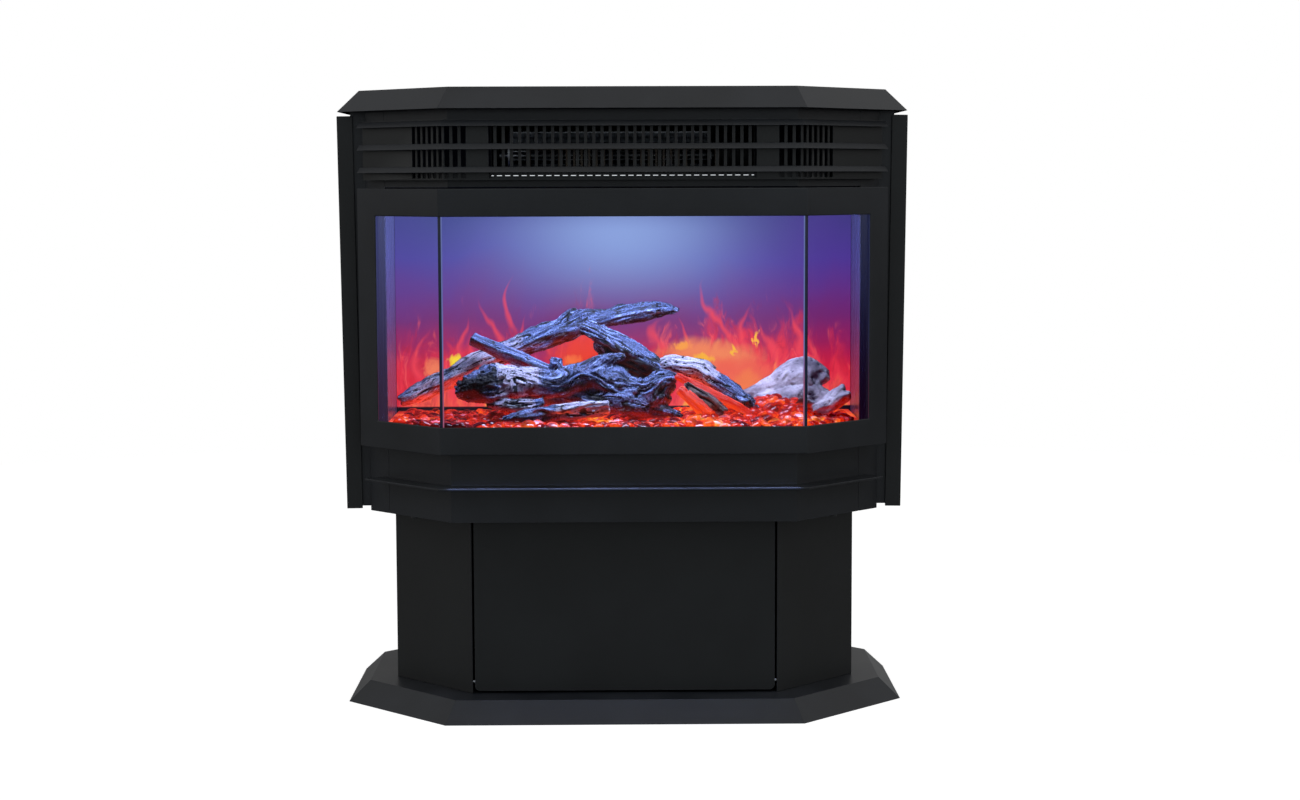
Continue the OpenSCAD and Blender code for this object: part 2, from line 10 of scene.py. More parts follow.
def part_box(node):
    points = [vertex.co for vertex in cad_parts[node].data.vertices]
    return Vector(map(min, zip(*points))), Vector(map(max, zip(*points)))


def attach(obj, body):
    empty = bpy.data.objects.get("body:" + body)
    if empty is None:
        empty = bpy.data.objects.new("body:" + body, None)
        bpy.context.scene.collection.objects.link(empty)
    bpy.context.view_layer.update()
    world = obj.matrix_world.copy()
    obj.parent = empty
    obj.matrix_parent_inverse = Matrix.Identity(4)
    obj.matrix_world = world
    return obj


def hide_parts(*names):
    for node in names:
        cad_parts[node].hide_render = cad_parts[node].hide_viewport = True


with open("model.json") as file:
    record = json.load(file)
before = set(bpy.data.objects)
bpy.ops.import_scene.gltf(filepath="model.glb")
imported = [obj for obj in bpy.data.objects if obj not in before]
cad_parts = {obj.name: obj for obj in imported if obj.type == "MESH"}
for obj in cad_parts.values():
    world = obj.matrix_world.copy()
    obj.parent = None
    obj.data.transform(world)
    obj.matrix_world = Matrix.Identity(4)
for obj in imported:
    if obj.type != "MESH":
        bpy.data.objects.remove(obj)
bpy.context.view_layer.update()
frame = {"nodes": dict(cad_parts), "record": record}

# -------------------- places and measures
MM = 0.001
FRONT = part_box("window_frame")[0][1]     # Y of the window frame's front plane
BAY_HALF = 208.0                         # half width of the flat front there, in millimetres
NEAR_WHITE = (0.93, 1.0, 1.05)
WHITE = (1.0, 1.0, 1.0)


def at(x, depth, z):
    """A point in metres from millimetres, with depth counted back from the window frame."""
    return Vector((x * MM, FRONT + depth * MM, z * MM))


def top_of(node):
    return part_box(node)[1][2]


def waver(x, y, z):
    return noise.noise(Vector((x, y, z)))


# -------------------- node graphs
class Graph:
    """The node tree of a material, or of a given world, with a short call for each kind of
    node used here."""

    def __init__(self, name, world=None):
        self.owner = world or bpy.data.materials.new(name)
        self.owner.use_nodes = True
        self.tree = self.owner.node_tree
        self.tree.nodes.clear()
        self.output = self.tree.nodes.new("ShaderNodeOutput" + ("World" if world else "Material"))

    def put(self, socket, value):
        if isinstance(value, bpy.types.NodeSocket):
            self.tree.links.new(value, socket)
        elif hasattr(socket.default_value, "__len__") and len(value) == 3 \
                and len(socket.default_value) == 4:
            socket.default_value = (*value, 1.0)
        else:
            socket.default_value = value

    def add(self, kind, inputs=None, **settings):
        node = self.tree.nodes.new(kind)
        for key, value in settings.items():
            setattr(node, key, value)
        for key, value in (inputs or {}).items():
            self.put(node.inputs[key], value)
        return node

    def show(self, node):
        """Link the last node to the output, and give the material or world."""
        self.tree.links.new(node.outputs[0], self.output.inputs[0])
        return self.owner

    def place(self):
        return self.add("ShaderNodeTexCoord").outputs["Object"]

    def axes(self, vector):
        return self.add("ShaderNodeSeparateXYZ", {0: vector}).outputs

    def seen(self):
        """1 where the camera looks straight at a point, 0 where light only bounces to it."""
        return self.add("ShaderNodeLightPath").outputs["Is Camera Ray"]

    def attribute(self, name, output="Vector"):
        return self.add("ShaderNodeAttribute", attribute_name=name).outputs[output]

    def math(self, operation, a, b=0.0, clamp=False):
        node = self.add("ShaderNodeMath", {0: a, 1: b}, operation=operation)
        node.use_clamp = clamp
        return node.outputs[0]

    def plus(self, a, b, clamp=False):
        return self.math("ADD", a, b, clamp)

    def minus(self, a, b):
        return self.math("SUBTRACT", a, b)

    def times(self, a, b, clamp=False):
        return self.math("MULTIPLY", a, b, clamp)

    def over(self, a, b, clamp=False):
        return self.math("DIVIDE", a, b, clamp)

    def swayed(self, value, noise, amount):
        """The value, moved up or down by at most half the amount."""
        return self.plus(value, self.times(self.minus(noise, 0.5), amount))

    def weighed(self, *pairs):
        """The sum of values, each times its weight."""
        total = None
        for value, weight in pairs:
            part = self.times(value, weight)
            total = part if total is None else self.plus(total, part)
        return total

    def scaled(self, vector, factors):
        node = self.add("ShaderNodeVectorMath", {0: vector, 1: factors}, operation="MULTIPLY")
        return node.outputs[0]

    def noise(self, vector, scale, detail=2.0, roughness=0.5, distortion=0.0):
        """Noise at one scale, or at a scale for each axis."""
        if isinstance(scale, tuple):
            vector, scale = self.scaled(vector, scale), 1.0
        node = self.add("ShaderNodeTexNoise", {
            "Vector": vector, "Scale": scale, "Detail": detail,
            "Roughness": roughness, "Distortion": distortion})
        return node.outputs["Fac"]

    def step(self, value, low, high, out_low=0.0, out_high=1.0):
        node = self.add("ShaderNodeMapRange", {
            "Value": value, "From Min": low, "From Max": high,
            "To Min": out_low, "To Max": out_high}, interpolation_type="SMOOTHSTEP")
        return node.outputs["Result"]

    def mix(self, factor, a, b, blend="MIX"):
        node = self.add("ShaderNodeMix", {0: factor, 6: a, 7: b},
                        data_type="RGBA", blend_type=blend)
        return node.outputs[2]

    def ramp(self, value, stops):
        node = self.add("ShaderNodeValToRGB", {0: value})
        ramp = node.color_ramp
        while len(ramp.elements) < len(stops):
            ramp.elements.new(0.5)
        for element, (place, colour) in zip(ramp.elements, stops):
            element.position = place
            element.color = (*colour, 1.0)
        return node.outputs["Color"]

    def bump(self, height, strength, distance):
        return self.add("ShaderNodeBump", {
            "Height": height, "Strength": strength, "Distance": distance}).outputs["Normal"]

    def principled(self, **inputs):
        names = {"color": "Base Color", "roughness": "Roughness", "metallic": "Metallic",
                 "normal": "Normal", "specular": "Specular IOR Level", "coat": "Coat Weight",
                 "coat_roughness": "Coat Roughness", "glow": "Emission Color",
                 "glow_strength": "Emission Strength"}
        return self.show(self.add("ShaderNodeBsdfPrincipled",
                                  {names[key]: value for key, value in inputs.items()}))


# -------------------- materials
def shades(tone, *factors):
    """Darker and lighter shades of one tone."""
    return [tuple(factor * part for part in tone) for factor in factors]


def powder_coat(name, tone, roughness, seed):
    """Satin black powder coat: fine pebbled film, slow drift in gloss, paler edges that are part
    wear and part painted highlight.
    """
    g = Graph(name)
    place = g.add("ShaderNodeVectorMath", {0: g.place(), 1: (seed, seed, 0.0)}).outputs[0]
    pebble = g.noise(place, 900.0, 2.0, 0.55)
    peel = g.noise(place, 260.0, 2.0, 0.5)
    drift = g.noise(place, 7.0, 3.0, 0.6)
    bevel = g.add("ShaderNodeBevel", {"Radius": 0.0011}, samples=4)
    geometry = g.add("ShaderNodeNewGeometry")
    turn = g.add("ShaderNodeVectorMath", {0: bevel.outputs[0], 1: geometry.outputs["Normal"]},
                 operation="DOT_PRODUCT").outputs["Value"]
    scuff = g.noise(place, 130.0, 4.0, 0.7)
    # paler edges: part scuffed wear, part painted highlight along the bends
    wear_and_painted_edge_highlight = g.times(g.step(turn, 0.995, 0.9), g.step(scuff, 0.42, 0.7))
    dark, light, speck = shades(tone, 0.8, 1.25, 2.4)
    colour = g.mix(g.step(drift, 0.3, 0.7), dark, light)
    colour = g.mix(g.times(g.step(pebble, 0.55, 0.8), 0.35), colour, speck)
    colour = g.mix(g.times(wear_and_painted_edge_highlight, 0.55), colour, (0.085, 0.092, 0.11))
    # up-facing faces paler in patches
    up = g.axes(geometry.outputs["Normal"])[2]
    paler_upward_patches = g.times(g.step(up, 0.55, 1.0), g.step(drift, 0.35, 0.75))
    colour = g.mix(g.times(paler_upward_patches, 0.1), colour, (0.16, 0.16, 0.17))
    rough = g.swayed(roughness, drift, 0.16)
    rough = g.plus(rough, g.times(pebble, 0.06))
    height = g.weighed((pebble, 0.45), (peel, 0.55))
    return g.principled(color=colour, roughness=rough, normal=g.bump(height, 0.16, 0.0004),
                        specular=0.42)


def window_glass(name, edge_x):
    """Clear glass as a thin film with a mirror-like skin; its polished ends, beyond edge_x,
    carry a painted glow line for the light inside, reddish low down and blue higher up."""
    g = Graph(name)
    place = g.place()
    smear = g.noise(place, 14.0, 4.0, 0.65, 0.8)
    gloss = g.add("ShaderNodeBsdfGlossy", {
        "Color": (0.8, 0.86, 1.0, 1.0),
        "Roughness": g.step(smear, 0.35, 0.8, 0.015, 0.05)})
    passed = g.mix(g.seen(), (0.1, 0.11, 0.14), (0.985, 0.99, 1.0))
    clear = g.add("ShaderNodeBsdfTransparent", {"Color": passed})
    fresnel = g.add("ShaderNodeFresnel", {"IOR": 1.45}).outputs[0]
    outer = g.minus(1.0, g.add("ShaderNodeNewGeometry").outputs["Backfacing"])
    weight = g.times(g.times(fresnel, 1.5), outer, clamp=True)
    mix = g.add("ShaderNodeMixShader", {0: weight, 1: clear.outputs[0], 2: gloss.outputs[0]})
    # painted glow line along the glass ends, reddish low down and blue higher up
    x, _, z = g.axes(place)
    line = g.step(g.math("ABSOLUTE", x), edge_x - 0.3 * MM, edge_x + 0.3 * MM)
    low = g.step(z, 0.37, 0.45)
    edge = g.add("ShaderNodeEmission", {
        "Color": g.mix(low, (0.5, 0.14, 0.26), (0.2, 0.25, 0.62)), "Strength": 0.6})
    return g.show(g.add("ShaderNodeMixShader", {0: line, 1: mix.outputs[0], 2: edge.outputs[0]}))


def joint_seal():
    g = Graph("joint_seal")
    bead = g.noise(g.scaled(g.place(), (1.0, 1.0, 0.25)), 300.0, 3.0)
    colour = g.mix(bead, (0.008, 0.012, 0.03), (0.02, 0.03, 0.07))
    return g.principled(color=colour, roughness=0.18, normal=g.bump(bead, 0.2, 0.0003),
                        specular=0.6)


def zinc_steel():
    g = Graph("zinc_steel")
    place = g.place()
    grain = g.noise(place, (6.0, 400.0, 400.0), 3.0, 0.6)
    spangle = g.add("ShaderNodeTexVoronoi", {"Vector": place, "Scale": 120.0}).outputs["Color"]
    spangle = g.add("ShaderNodeSeparateColor", {0: spangle}).outputs[0]
    colour = g.mix(spangle, (0.42, 0.44, 0.47), (0.62, 0.64, 0.68))
    rough = g.plus(0.24, g.times(grain, 0.22))
    return g.principled(color=colour, metallic=1.0, roughness=rough,
                        normal=g.bump(grain, 0.12, 0.0003))


def moulded_plastic(tone, roughness=0.5):
    g = Graph("black_plastic")
    place = g.place()
    grain = g.noise(place, 1400.0, 2.0, 0.6)
    flow = g.noise(place, 35.0, 2.0)
    colour = g.mix(flow, *shades(tone, 0.8, 1.3))
    rough = g.plus(roughness - 0.06, g.times(grain, 0.14))
    return g.principled(color=colour, roughness=rough, normal=g.bump(grain, 0.25, 0.0002))


def firebox_lining():
    """Blue-black glossy side walls and roof with a faint painted glow, stronger at the left;
    colour and glow go from purple low down to blue higher up as painted reflection of the
    screen's light.
    """
    g = Graph("firebox_lining")
    place = g.place()
    brushed = g.noise(place, (40.0, 260.0, 5.0), 3.0, 0.6)
    x, _, z = g.axes(place)
    # painted reflection of the screen: purple low down, blue higher up
    shade = g.step(z, 0.34, 0.6)
    colour = g.mix(shade, (0.05, 0.03, 0.06), (0.045, 0.06, 0.14))
    glow = g.mix(shade, (0.03, 0.018, 0.04), (0.045, 0.052, 0.15))
    share = g.step(x, -0.2, 0.2, 1.0, 0.3)
    rough = g.plus(0.2, g.times(brushed, 0.15))
    return g.principled(color=colour, roughness=rough, glow=glow, glow_strength=share,
                        normal=g.bump(brushed, 0.08, 0.0003), specular=0.7)


def led_board():
    g = Graph("led_board")
    place = g.place()
    fibre = g.noise(place, 700.0, 2.0)
    trace = g.noise(place, (30.0, 260.0, 30.0), 1.0)
    colour = g.mix(g.step(trace, 0.46, 0.5), (0.72, 0.75, 0.76), (0.55, 0.6, 0.62))
    return g.principled(color=colour, roughness=g.plus(0.4, g.times(fibre, 0.1)))


def heater_fins():
    g = Graph("heater_fins")
    place = g.place()
    heat = g.noise(place, 60.0, 3.0)
    colour = g.ramp(heat, [(0.3, (0.055, 0.052, 0.05)), (0.55, (0.085, 0.07, 0.055)),
                           (0.75, (0.05, 0.056, 0.075))])
    return g.principled(color=colour, metallic=0.9, roughness=0.45,
                        normal=g.bump(g.noise(place, 500.0), 0.1, 0.0003))


def wispy(g, x, z, wisp):
    """How bright one thin flame is at (x, z)."""
    foot_x, foot_z, height, sway, width, phase = wisp
    t = g.over(g.minus(z, foot_z), height, clamp=True)
    bend = g.math("SINE", g.plus(g.times(t, 4.2), phase))
    centre = g.plus(foot_x, g.times(bend, sway))
    away = g.math("ABSOLUTE", g.minus(x, centre))
    thin = g.times(g.math("POWER", g.minus(1.02, t), 0.8), width)
    body = g.step(g.over(away, thin), 1.0, 0.0)
    ends = g.times(g.step(t, 0.0, 0.25), g.step(t, 1.0, 0.5))
    return g.times(body, ends)


def hill(g, x, centre, width, height):
    """A smooth bump of that height over x."""
    far = g.over(g.minus(x, centre), width)
    fall = g.math("EXPONENT", g.times(g.times(far, far), -1.0))
    return g.times(fall, height)


def with_hills(g, value, x, hills):
    """The value, raised by a row of hills over x."""
    for centre, width, height in hills:
        value = g.plus(value, hill(g, x, centre, width, height))
    return value


# thin flames on the screen: foot x and z, height, sway, width and phase
WISPS = (
    (-0.164, 0.395, 0.088, 0.01, 0.011, 0.3), (-0.186, 0.372, 0.07, 0.008, 0.012, 1.9),
    (-0.148, 0.372, 0.07, 0.008, 0.008, 3.0), (-0.118, 0.4, 0.062, 0.008, 0.008, 3.4),
    (-0.215, 0.35, 0.06, 0.006, 0.01, 0.9), (-0.095, 0.405, 0.045, 0.005, 0.006, 1.4),
    (-0.135, 0.43, 0.08, 0.01, 0.007, 2.4), (-0.24, 0.37, 0.075, 0.008, 0.012, 2.7),
    (-0.198, 0.4, 0.06, 0.008, 0.007, 4.1), (0.045, 0.405, 0.052, 0.008, 0.012, 2.2),
    (0.075, 0.4, 0.06, 0.01, 0.009, 0.4), (0.112, 0.41, 0.095, 0.014, 0.009, 1.2),
    (0.15, 0.4, 0.075, 0.01, 0.011, 2.9), (0.178, 0.39, 0.062, 0.008, 0.012, 0.6),
    (0.207, 0.39, 0.085, 0.01, 0.01, 0.0), (0.235, 0.375, 0.07, 0.008, 0.01, 1.6))
# brighter patches: x, z, half width, half height, how soft, and colour
SPARKS = (
    (0.102, 0.404, 0.042, 0.014, 3.4, (0.92, 0.24, 0.09)),
    (0.132, 0.382, 0.036, 0.014, 3.4, (0.9, 0.13, 0.07)),
    (-0.046, 0.41, 0.032, 0.022, 3.0, (0.84, 0.045, 0.012)),
    (-0.064, 0.402, 0.01, 0.006, 2.6, (0.96, 0.17, 0.04)),
    (-0.206, 0.402, 0.01, 0.008, 1.5, (1.0, 0.72, 0.03)),
    (-0.233, 0.394, 0.009, 0.01, 2.6, (0.92, 0.22, 0.1)),
    (0.099, 0.403, 0.012, 0.005, 1.6, (1.0, 0.46, 0.035)),
    (0.072, 0.417, 0.009, 0.004, 2.2, (0.98, 0.36, 0.05)),
    (0.134, 0.413, 0.0035, 0.009, 1.1, (1.0, 0.5, 0.035)),
    (0.163, 0.426, 0.0035, 0.01, 1.1, (1.0, 0.48, 0.04)),
    (0.15, 0.372, 0.016, 0.012, 3.0, (0.92, 0.2, 0.06)))
SCREEN_FOOT, SCREEN_TOP = 0.343, 0.581   # Z of what shows of the screen


def flame_screen():
    """The back screen: blue at the top, purple below, red at its foot, with soft flames, a
    painted pool of light at the top middle and a painted shadow line along its foot.
    Its back glows only faintly."""
    g = Graph("flame_screen")
    place = g.place()
    x, y, z = g.axes(place)
    v = g.over(g.minus(z, SCREEN_FOOT), SCREEN_TOP - SCREEN_FOOT)
    slow = g.noise(place, (7.0, 0.0, 5.0), 3.0, 0.55, 0.6)
    drift = g.times(g.minus(slow, 0.5), 0.34)
    ground = g.ramp(g.plus(v, drift, clamp=True), [
        (0.03, (0.66, 0.014, 0.018)), (0.17, (0.72, 0.021, 0.046)),
        (0.31, (0.36, 0.019, 0.105)), (0.46, (0.185, 0.028, 0.18)),
        (0.62, (0.125, 0.042, 0.27)), (0.8, (0.072, 0.054, 0.34)),
        (1.0, (0.046, 0.052, 0.26))])
    # painted pool of light from the top LED at the screen's top middle
    reach = g.step(v, 0.42, 0.9)
    rim = g.step(v, 1.04, 0.9, 0.62, 1.0)
    painted_light_pool = g.times(hill(g, x, -0.004, 0.125, 1.0), g.times(reach, rim))
    ground = g.mix(g.times(painted_light_pool, 0.95, clamp=True), ground, (0.25, 0.36, 0.7))

    dusk = g.step(x, 0.08, 0.26, 0.0, 0.9)
    ground = g.mix(dusk, ground, g.mix(1.0, ground, (0.9, 0.42, 0.8), "MULTIPLY"))

    warp = g.noise(place, (14.0, 0.0, 8.0), 3.0, 0.55)
    warped_x = g.swayed(x, warp, 0.06)
    vector = g.add("ShaderNodeCombineXYZ", {0: warped_x, 1: 0.37, 2: z}).outputs[0]
    tongues = g.noise(vector, (24.0, 1.0, 9.0), 4.0, 0.6, 1.0)
    lick = g.noise(vector, (70.0, 1.0, 20.0), 3.0, 0.6, 1.4)
    where = with_hills(g, hill(g, x, 0.125, 0.085, 0.34), x, (
        (0.215, 0.05, 0.2), (-0.18, 0.045, 0.14), (-0.245, 0.04, 0.1), (-0.045, 0.03, 0.26)))
    fuel = g.weighed((tongues, 1.2), (lick, 0.45))
    heat = g.minus(g.plus(fuel, where), g.times(v, 1.25))
    colour = ground
    for low, high, tint in ((0.48, 0.88, (0.82, 0.032, 0.06)), (0.8, 1.1, (0.94, 0.11, 0.07)),
                            (1.02, 1.28, (1.0, 0.34, 0.05))):
        colour = g.mix(g.step(heat, low, high), colour, tint)
    streak = g.noise(vector, (60.0, 1.0, 19.0), 4.0, 0.62, 1.6)
    burning = g.step(heat, 0.36, 0.72)
    pale = g.times(g.step(streak, 0.53, 0.7), burning)
    deep = g.times(g.step(streak, 0.47, 0.32), burning)
    colour = g.mix(g.times(pale, 0.65), colour, (1.0, 0.13, 0.13))
    colour = g.mix(g.times(deep, 0.45), colour, (0.42, 0.01, 0.035))

    glow = None
    for wisp in WISPS:
        light = wispy(g, warped_x, z, wisp)
        glow = light if glow is None else g.math("MAXIMUM", glow, light)
    colour = g.mix(g.times(glow, 0.72), colour, (0.9, 0.06, 0.085))
    ragged = g.noise(place, 130.0, 3.0, 0.6)
    bent_x = g.swayed(x, g.times(g.plus(lick, ragged), 0.5), 0.034)
    bent_z = g.swayed(z, tongues, 0.03)
    for spark_x, spark_z, width, height, soft, tint in SPARKS:
        far_x = g.over(g.minus(bent_x, spark_x), width)
        far_z = g.over(g.minus(bent_z, spark_z), height)
        far = g.plus(g.times(far_x, far_x), g.times(far_z, far_z))
        far = g.swayed(far, tongues, soft)
        colour = g.mix(g.step(far, soft, 0.1), colour, tint)
    # painted shadow: a near-black line along the screen's foot
    lit = g.step(z, SCREEN_FOOT + 1.0 * MM, SCREEN_FOOT + 2.8 * MM)
    colour = g.mix(lit, (0.004, 0.002, 0.003), colour)
    near, back = (corner[1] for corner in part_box("flame_screen"))
    strength = g.step(y, near + 0.3 * MM, back - 0.3 * MM, 1.0, 0.06)
    return g.principled(color=(0.01, 0.01, 0.015), roughness=0.6, glow=colour,
                        glow_strength=strength, specular=0.1)


def ember_plastic():
    """The lit tray under the beads: red to orange, brightest in patches."""
    g = Graph("ember_plastic")
    place = g.place()
    patch = g.noise(place, 24.0, 3.0, 0.6, 0.4)
    glow = g.ramp(patch, [(0.3, (0.1, 0.004, 0.003)), (0.48, (0.55, 0.02, 0.008)),
                          (0.62, (1.0, 0.12, 0.015)), (0.78, (1.0, 0.34, 0.04))])
    return g.principled(color=(0.3, 0.03, 0.02), roughness=0.35, glow=glow,
                        glow_strength=0.8, normal=g.bump(g.noise(place, 300.0), 0.2, 0.0005))


def bead_glass():
    """Polished glass nuggets, red to orange, with a painted glow for the tray's light shining up
    through them, dimmed at each bead's top and bottom; a few are pale.
    """
    g = Graph("bead_glass")
    place = g.place()
    own = g.attribute("tint", "Fac")
    rise = g.attribute("rise", "Fac")
    body = g.ramp(own, [(0.0, (0.02, 0.001, 0.002)), (0.4, (0.08, 0.003, 0.002)),
                        (0.72, (0.1, 0.005, 0.003)), (0.9, (0.01, 0.002, 0.004)),
                        (0.96, (0.12, 0.05, 0.07)), (1.0, (0.42, 0.3, 0.4))])
    patch = g.noise(place, 17.0, 2.0, 0.55, 0.4)
    swirl = g.noise(place, 210.0, 3.0, 0.55, 1.6)
    # painted glow of the tray's light through the beads, brighter in patches and at a few places
    # along x
    painted_glow_level = g.weighed((own, 0.22), (patch, 0.62), (swirl, 0.34))
    painted_glow_level = with_hills(g, painted_glow_level, g.axes(place)[0], (
        (0.095, 0.045, 0.13), (-0.036, 0.026, 0.12), (0.19, 0.04, 0.05), (-0.17, 0.05, -0.03)))
    glow = g.ramp(painted_glow_level, [(0.47, (0.012, 0.001, 0.001)), (0.57, (0.15, 0.004, 0.002)),
                         (0.67, (0.68, 0.018, 0.006)), (0.77, (1.0, 0.12, 0.012)),
                         (0.87, (1.0, 0.4, 0.04))])
    # painted shade: each bead's glow dims towards its top and bottom
    rim = g.math("ABSOLUTE", g.minus(rise, 0.12))
    glow = g.mix(g.step(rim, 0.45, 0.95, 0.0, 0.75), glow, (0.06, 0.002, 0.002))
    return g.principled(color=body, roughness=0.06, glow=glow, glow_strength=1.1,
                        specular=0.22, coat=0.12, coat_roughness=0.01)


def ember_lit(g, colour):
    """A painted glow for the embers' red light on a surface: strongest low down and below."""
    under = g.attribute("under", "Fac")
    patch = g.noise(g.place(), 36.0, 2.0, 0.5, 0.3)
    share = g.times(under, g.step(patch, 0.25, 0.6, 0.35, 1.0), clamp=True)
    own = g.mix(0.3, (1.0, 0.9, 0.8), colour)
    painted_ember_red = g.mix(share, (0.0, 0.0, 0.0), (0.78, 0.02, 0.01))
    return g.mix(0.75, painted_ember_red, own, "MULTIPLY")


def weathered_wood(name, warm=False):
    """Charred driftwood: long fibres, black cracks with painted shade in grooves, pits and
    hollows, blue-grey char and bared pale wood, and a painted glow of the embers' red light
    below; warm wood carries a painted orange ember glow where it is bare.
    """
    g = Graph(name)
    along = g.attribute("fibre")
    cracks_and_painted_shade = g.attribute("cracks_and_painted_shade", "Fac")
    bare = g.attribute("bare", "Fac")
    fibres = g.noise(along, (26.0, 330.0, 330.0), 4.0, 0.66, 0.3)
    strands = g.noise(along, (9.0, 110.0, 110.0), 3.0, 0.55, 0.5)
    grit = g.noise(g.place(), 520.0, 3.0, 0.7)
    stain = g.noise(g.place(), 42.0, 3.0, 0.6)
    tone = g.weighed((fibres, 0.46), (strands, 0.26), (grit, 0.28))
    char = g.ramp(tone, [(0.4, (0.002, 0.003, 0.008)), (0.46, (0.02, 0.028, 0.07)),
                         (0.53, (0.085, 0.12, 0.26)), (0.61, (0.36, 0.44, 0.7))])
    if warm:
        char = g.mix(0.85, char, (0.1, 0.055, 0.025))
    pale = g.ramp(tone, [(0.38, (0.08, 0.08, 0.11)), (0.45, (0.28, 0.26, 0.33)),
                         (0.55, (0.43, 0.4, 0.48)), (0.66, (0.62, 0.58, 0.66))])
    edge = g.swayed(bare, stain, 0.9)
    colour = g.mix(g.step(edge, 0.34, 0.58), char, pale)
    # black in cracks, and painted shade in grooves, pits and hollows
    colour = g.mix(g.step(cracks_and_painted_shade, 0.08, 0.52), colour, (0.002, 0.002, 0.004))
    height = g.weighed((fibres, 0.6), (strands, 0.4), (grit, 0.35))
    glow = ember_lit(g, colour)
    if warm:
        # painted ember light: orange glow where the warm wood is bare
        painted_ember_glow = g.mix(g.step(strands, 0.35, 0.65), (0.6, 0.012, 0.003), (1.0, 0.075, 0.008))
        painted_ember_glow_mask = g.step(bare, 0.3, 0.7)
        glow = g.mix(painted_ember_glow_mask, glow, painted_ember_glow)
        colour = g.mix(painted_ember_glow_mask, colour, (0.05, 0.008, 0.004))
    return g.principled(color=colour, roughness=0.62, specular=0.45,
                        normal=g.bump(height, 1.0, 0.003), glow=glow, glow_strength=1.0)


def rough_stone():
    """The pale knobbly driftwood burr at the right: pitted, with dark mauve-grey painted shade in
    its pits and hollows, and a painted glow of the embers' red light below.
    """
    g = Graph("rough_stone")
    place = g.place()
    pits = g.noise(place, 150.0, 5.0, 0.62, 0.4)
    broad = g.noise(place, 38.0, 3.0, 0.6)
    colour = g.ramp(broad, [(0.32, (0.11, 0.09, 0.11)), (0.5, (0.29, 0.24, 0.27)),
                            (0.68, (0.5, 0.43, 0.46))])
    painted_hollow_shade = g.attribute("cracks_and_painted_shade", "Fac")
    # painted shade in the pits and hollows
    colour = g.mix(g.times(g.step(pits, 0.42, 0.3), 0.8), colour, (0.08, 0.06, 0.09))
    colour = g.mix(g.step(painted_hollow_shade, 0.2, 0.9), colour, (0.05, 0.035, 0.05))
    return g.principled(color=colour, roughness=0.85, specular=0.25,
                        normal=g.bump(pits, 0.8, 0.002), glow=ember_lit(g, colour),
                        glow_strength=1.0)


def light_source(name, colour, strength):
    g = Graph(name)
    flicker = g.noise(g.place(), 90.0, 1.0)
    tint = g.mix(flicker, *shades(colour, 0.9, 1.0))
    return g.principled(color=(0.8, 0.8, 0.8), roughness=0.4, glow=tint, glow_strength=strength)


SATIN = powder_coat("satin_black", (0.0125, 0.0145, 0.018), 0.38, 0.3)
BLACK = powder_coat("black_coat", (0.008, 0.0092, 0.0098), 0.44, 1.7)
ZINC = zinc_steel()
# near-black for the heater parts inside: painted shade where the casing keeps light out
PAINTED_SHADE_BLACK = powder_coat("heater_painted_shade_black", (0.005, 0.005, 0.0055), 0.6, 2.6)
PLASTIC = moulded_plastic((0.016, 0.016, 0.018))
LINING = firebox_lining()
GLASS = window_glass("window_glass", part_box("glass_right")[1][0] - 3.6 * MM)
FRONT_GLASS = window_glass("front_glass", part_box("glass_center")[1][0] - 1.2 * MM)
SEAL = joint_seal()
BOARD = led_board()
FINS = heater_fins()
EMBER = ember_plastic()
BEADS = bead_glass()
WOOD = weathered_wood("driftwood")
WARM_WOOD = weathered_wood("driftwood_charred", warm=True)
STONE = rough_stone()

NODE_FINISH = {
    "black_powder_coat": BLACK, "satin_powder_coat": SATIN, "zinc_steel": ZINC,
    "black_plastic": PLASTIC, "black_screw": BLACK, "window_glass": GLASS,
    "joint_seal": SEAL, "firebox_lining": LINING, "tray_acrylic": EMBER,
    "led_board": BOARD,
}
SLOT_OF = {s["node"]: s["material_slot"] for s in frame["record"]["subparts"]}


# -------------------- CAD nodes
def round_edges(piece, width, sharper_than=35):
    """Small rounded edges where faces meet at more than sharper_than degrees."""
    bevel = piece.modifiers.new("edges", "BEVEL")
    bevel.width = width
    bevel.segments = 2
    bevel.limit_method = "ANGLE"
    bevel.angle_limit = math.radians(sharper_than)
    return bevel


def shade(mesh, smooth=True):
    for polygon in mesh.polygons:
        polygon.use_smooth = smooth


def paint(node, material):
    for material_slot in frame["nodes"][node].material_slots:
        material_slot.material = material


def dress(node, material, edge):
    """A CAD node gets its finish and small rounded edges; its own mesh stays as it is."""
    piece = frame["nodes"][node]
    paint(node, material)
    weld = piece.modifiers.new("weld", "WELD")
    weld.merge_threshold = 1e-6
    round_edges(piece, edge, 30).use_clamp_overlap = True
    shade(piece.data)
    normals = piece.modifiers.new("normals", "WEIGHTED_NORMAL")
    normals.keep_sharp = False
    normals.weight = 100


# widths of the rounded edges, in metres
USUAL_EDGE = 0.0006
EDGES = {"heating_element": 0.0002, "blower_wheel": 0.0003, "flicker_spindle": 0.0003,
         "power_rocker": 0.0003, "heat_rocker": 0.0003, "rear_panel": 0.0003,
         "grille_panel": 0.0003, "louver_lower": 0.0005, "louver_middle": 0.0005,
         "louver_upper": 0.0005, "window_frame": 0.0013, "ledge_shelf": 0.0009}
for name, slot_name in SLOT_OF.items():
    if slot_name in NODE_FINISH:
        dress(name, NODE_FINISH[slot_name], EDGES.get(name, USUAL_EDGE))
dress("heating_element", FINS, EDGES["heating_element"])     # its edges are rounded twice
# heater housing and blower motor painted near-black as shade inside the casing
paint("heater_housing", PAINTED_SHADE_BLACK)
paint("blower_motor", PAINTED_SHADE_BLACK)
paint("glass_center", FRONT_GLASS)


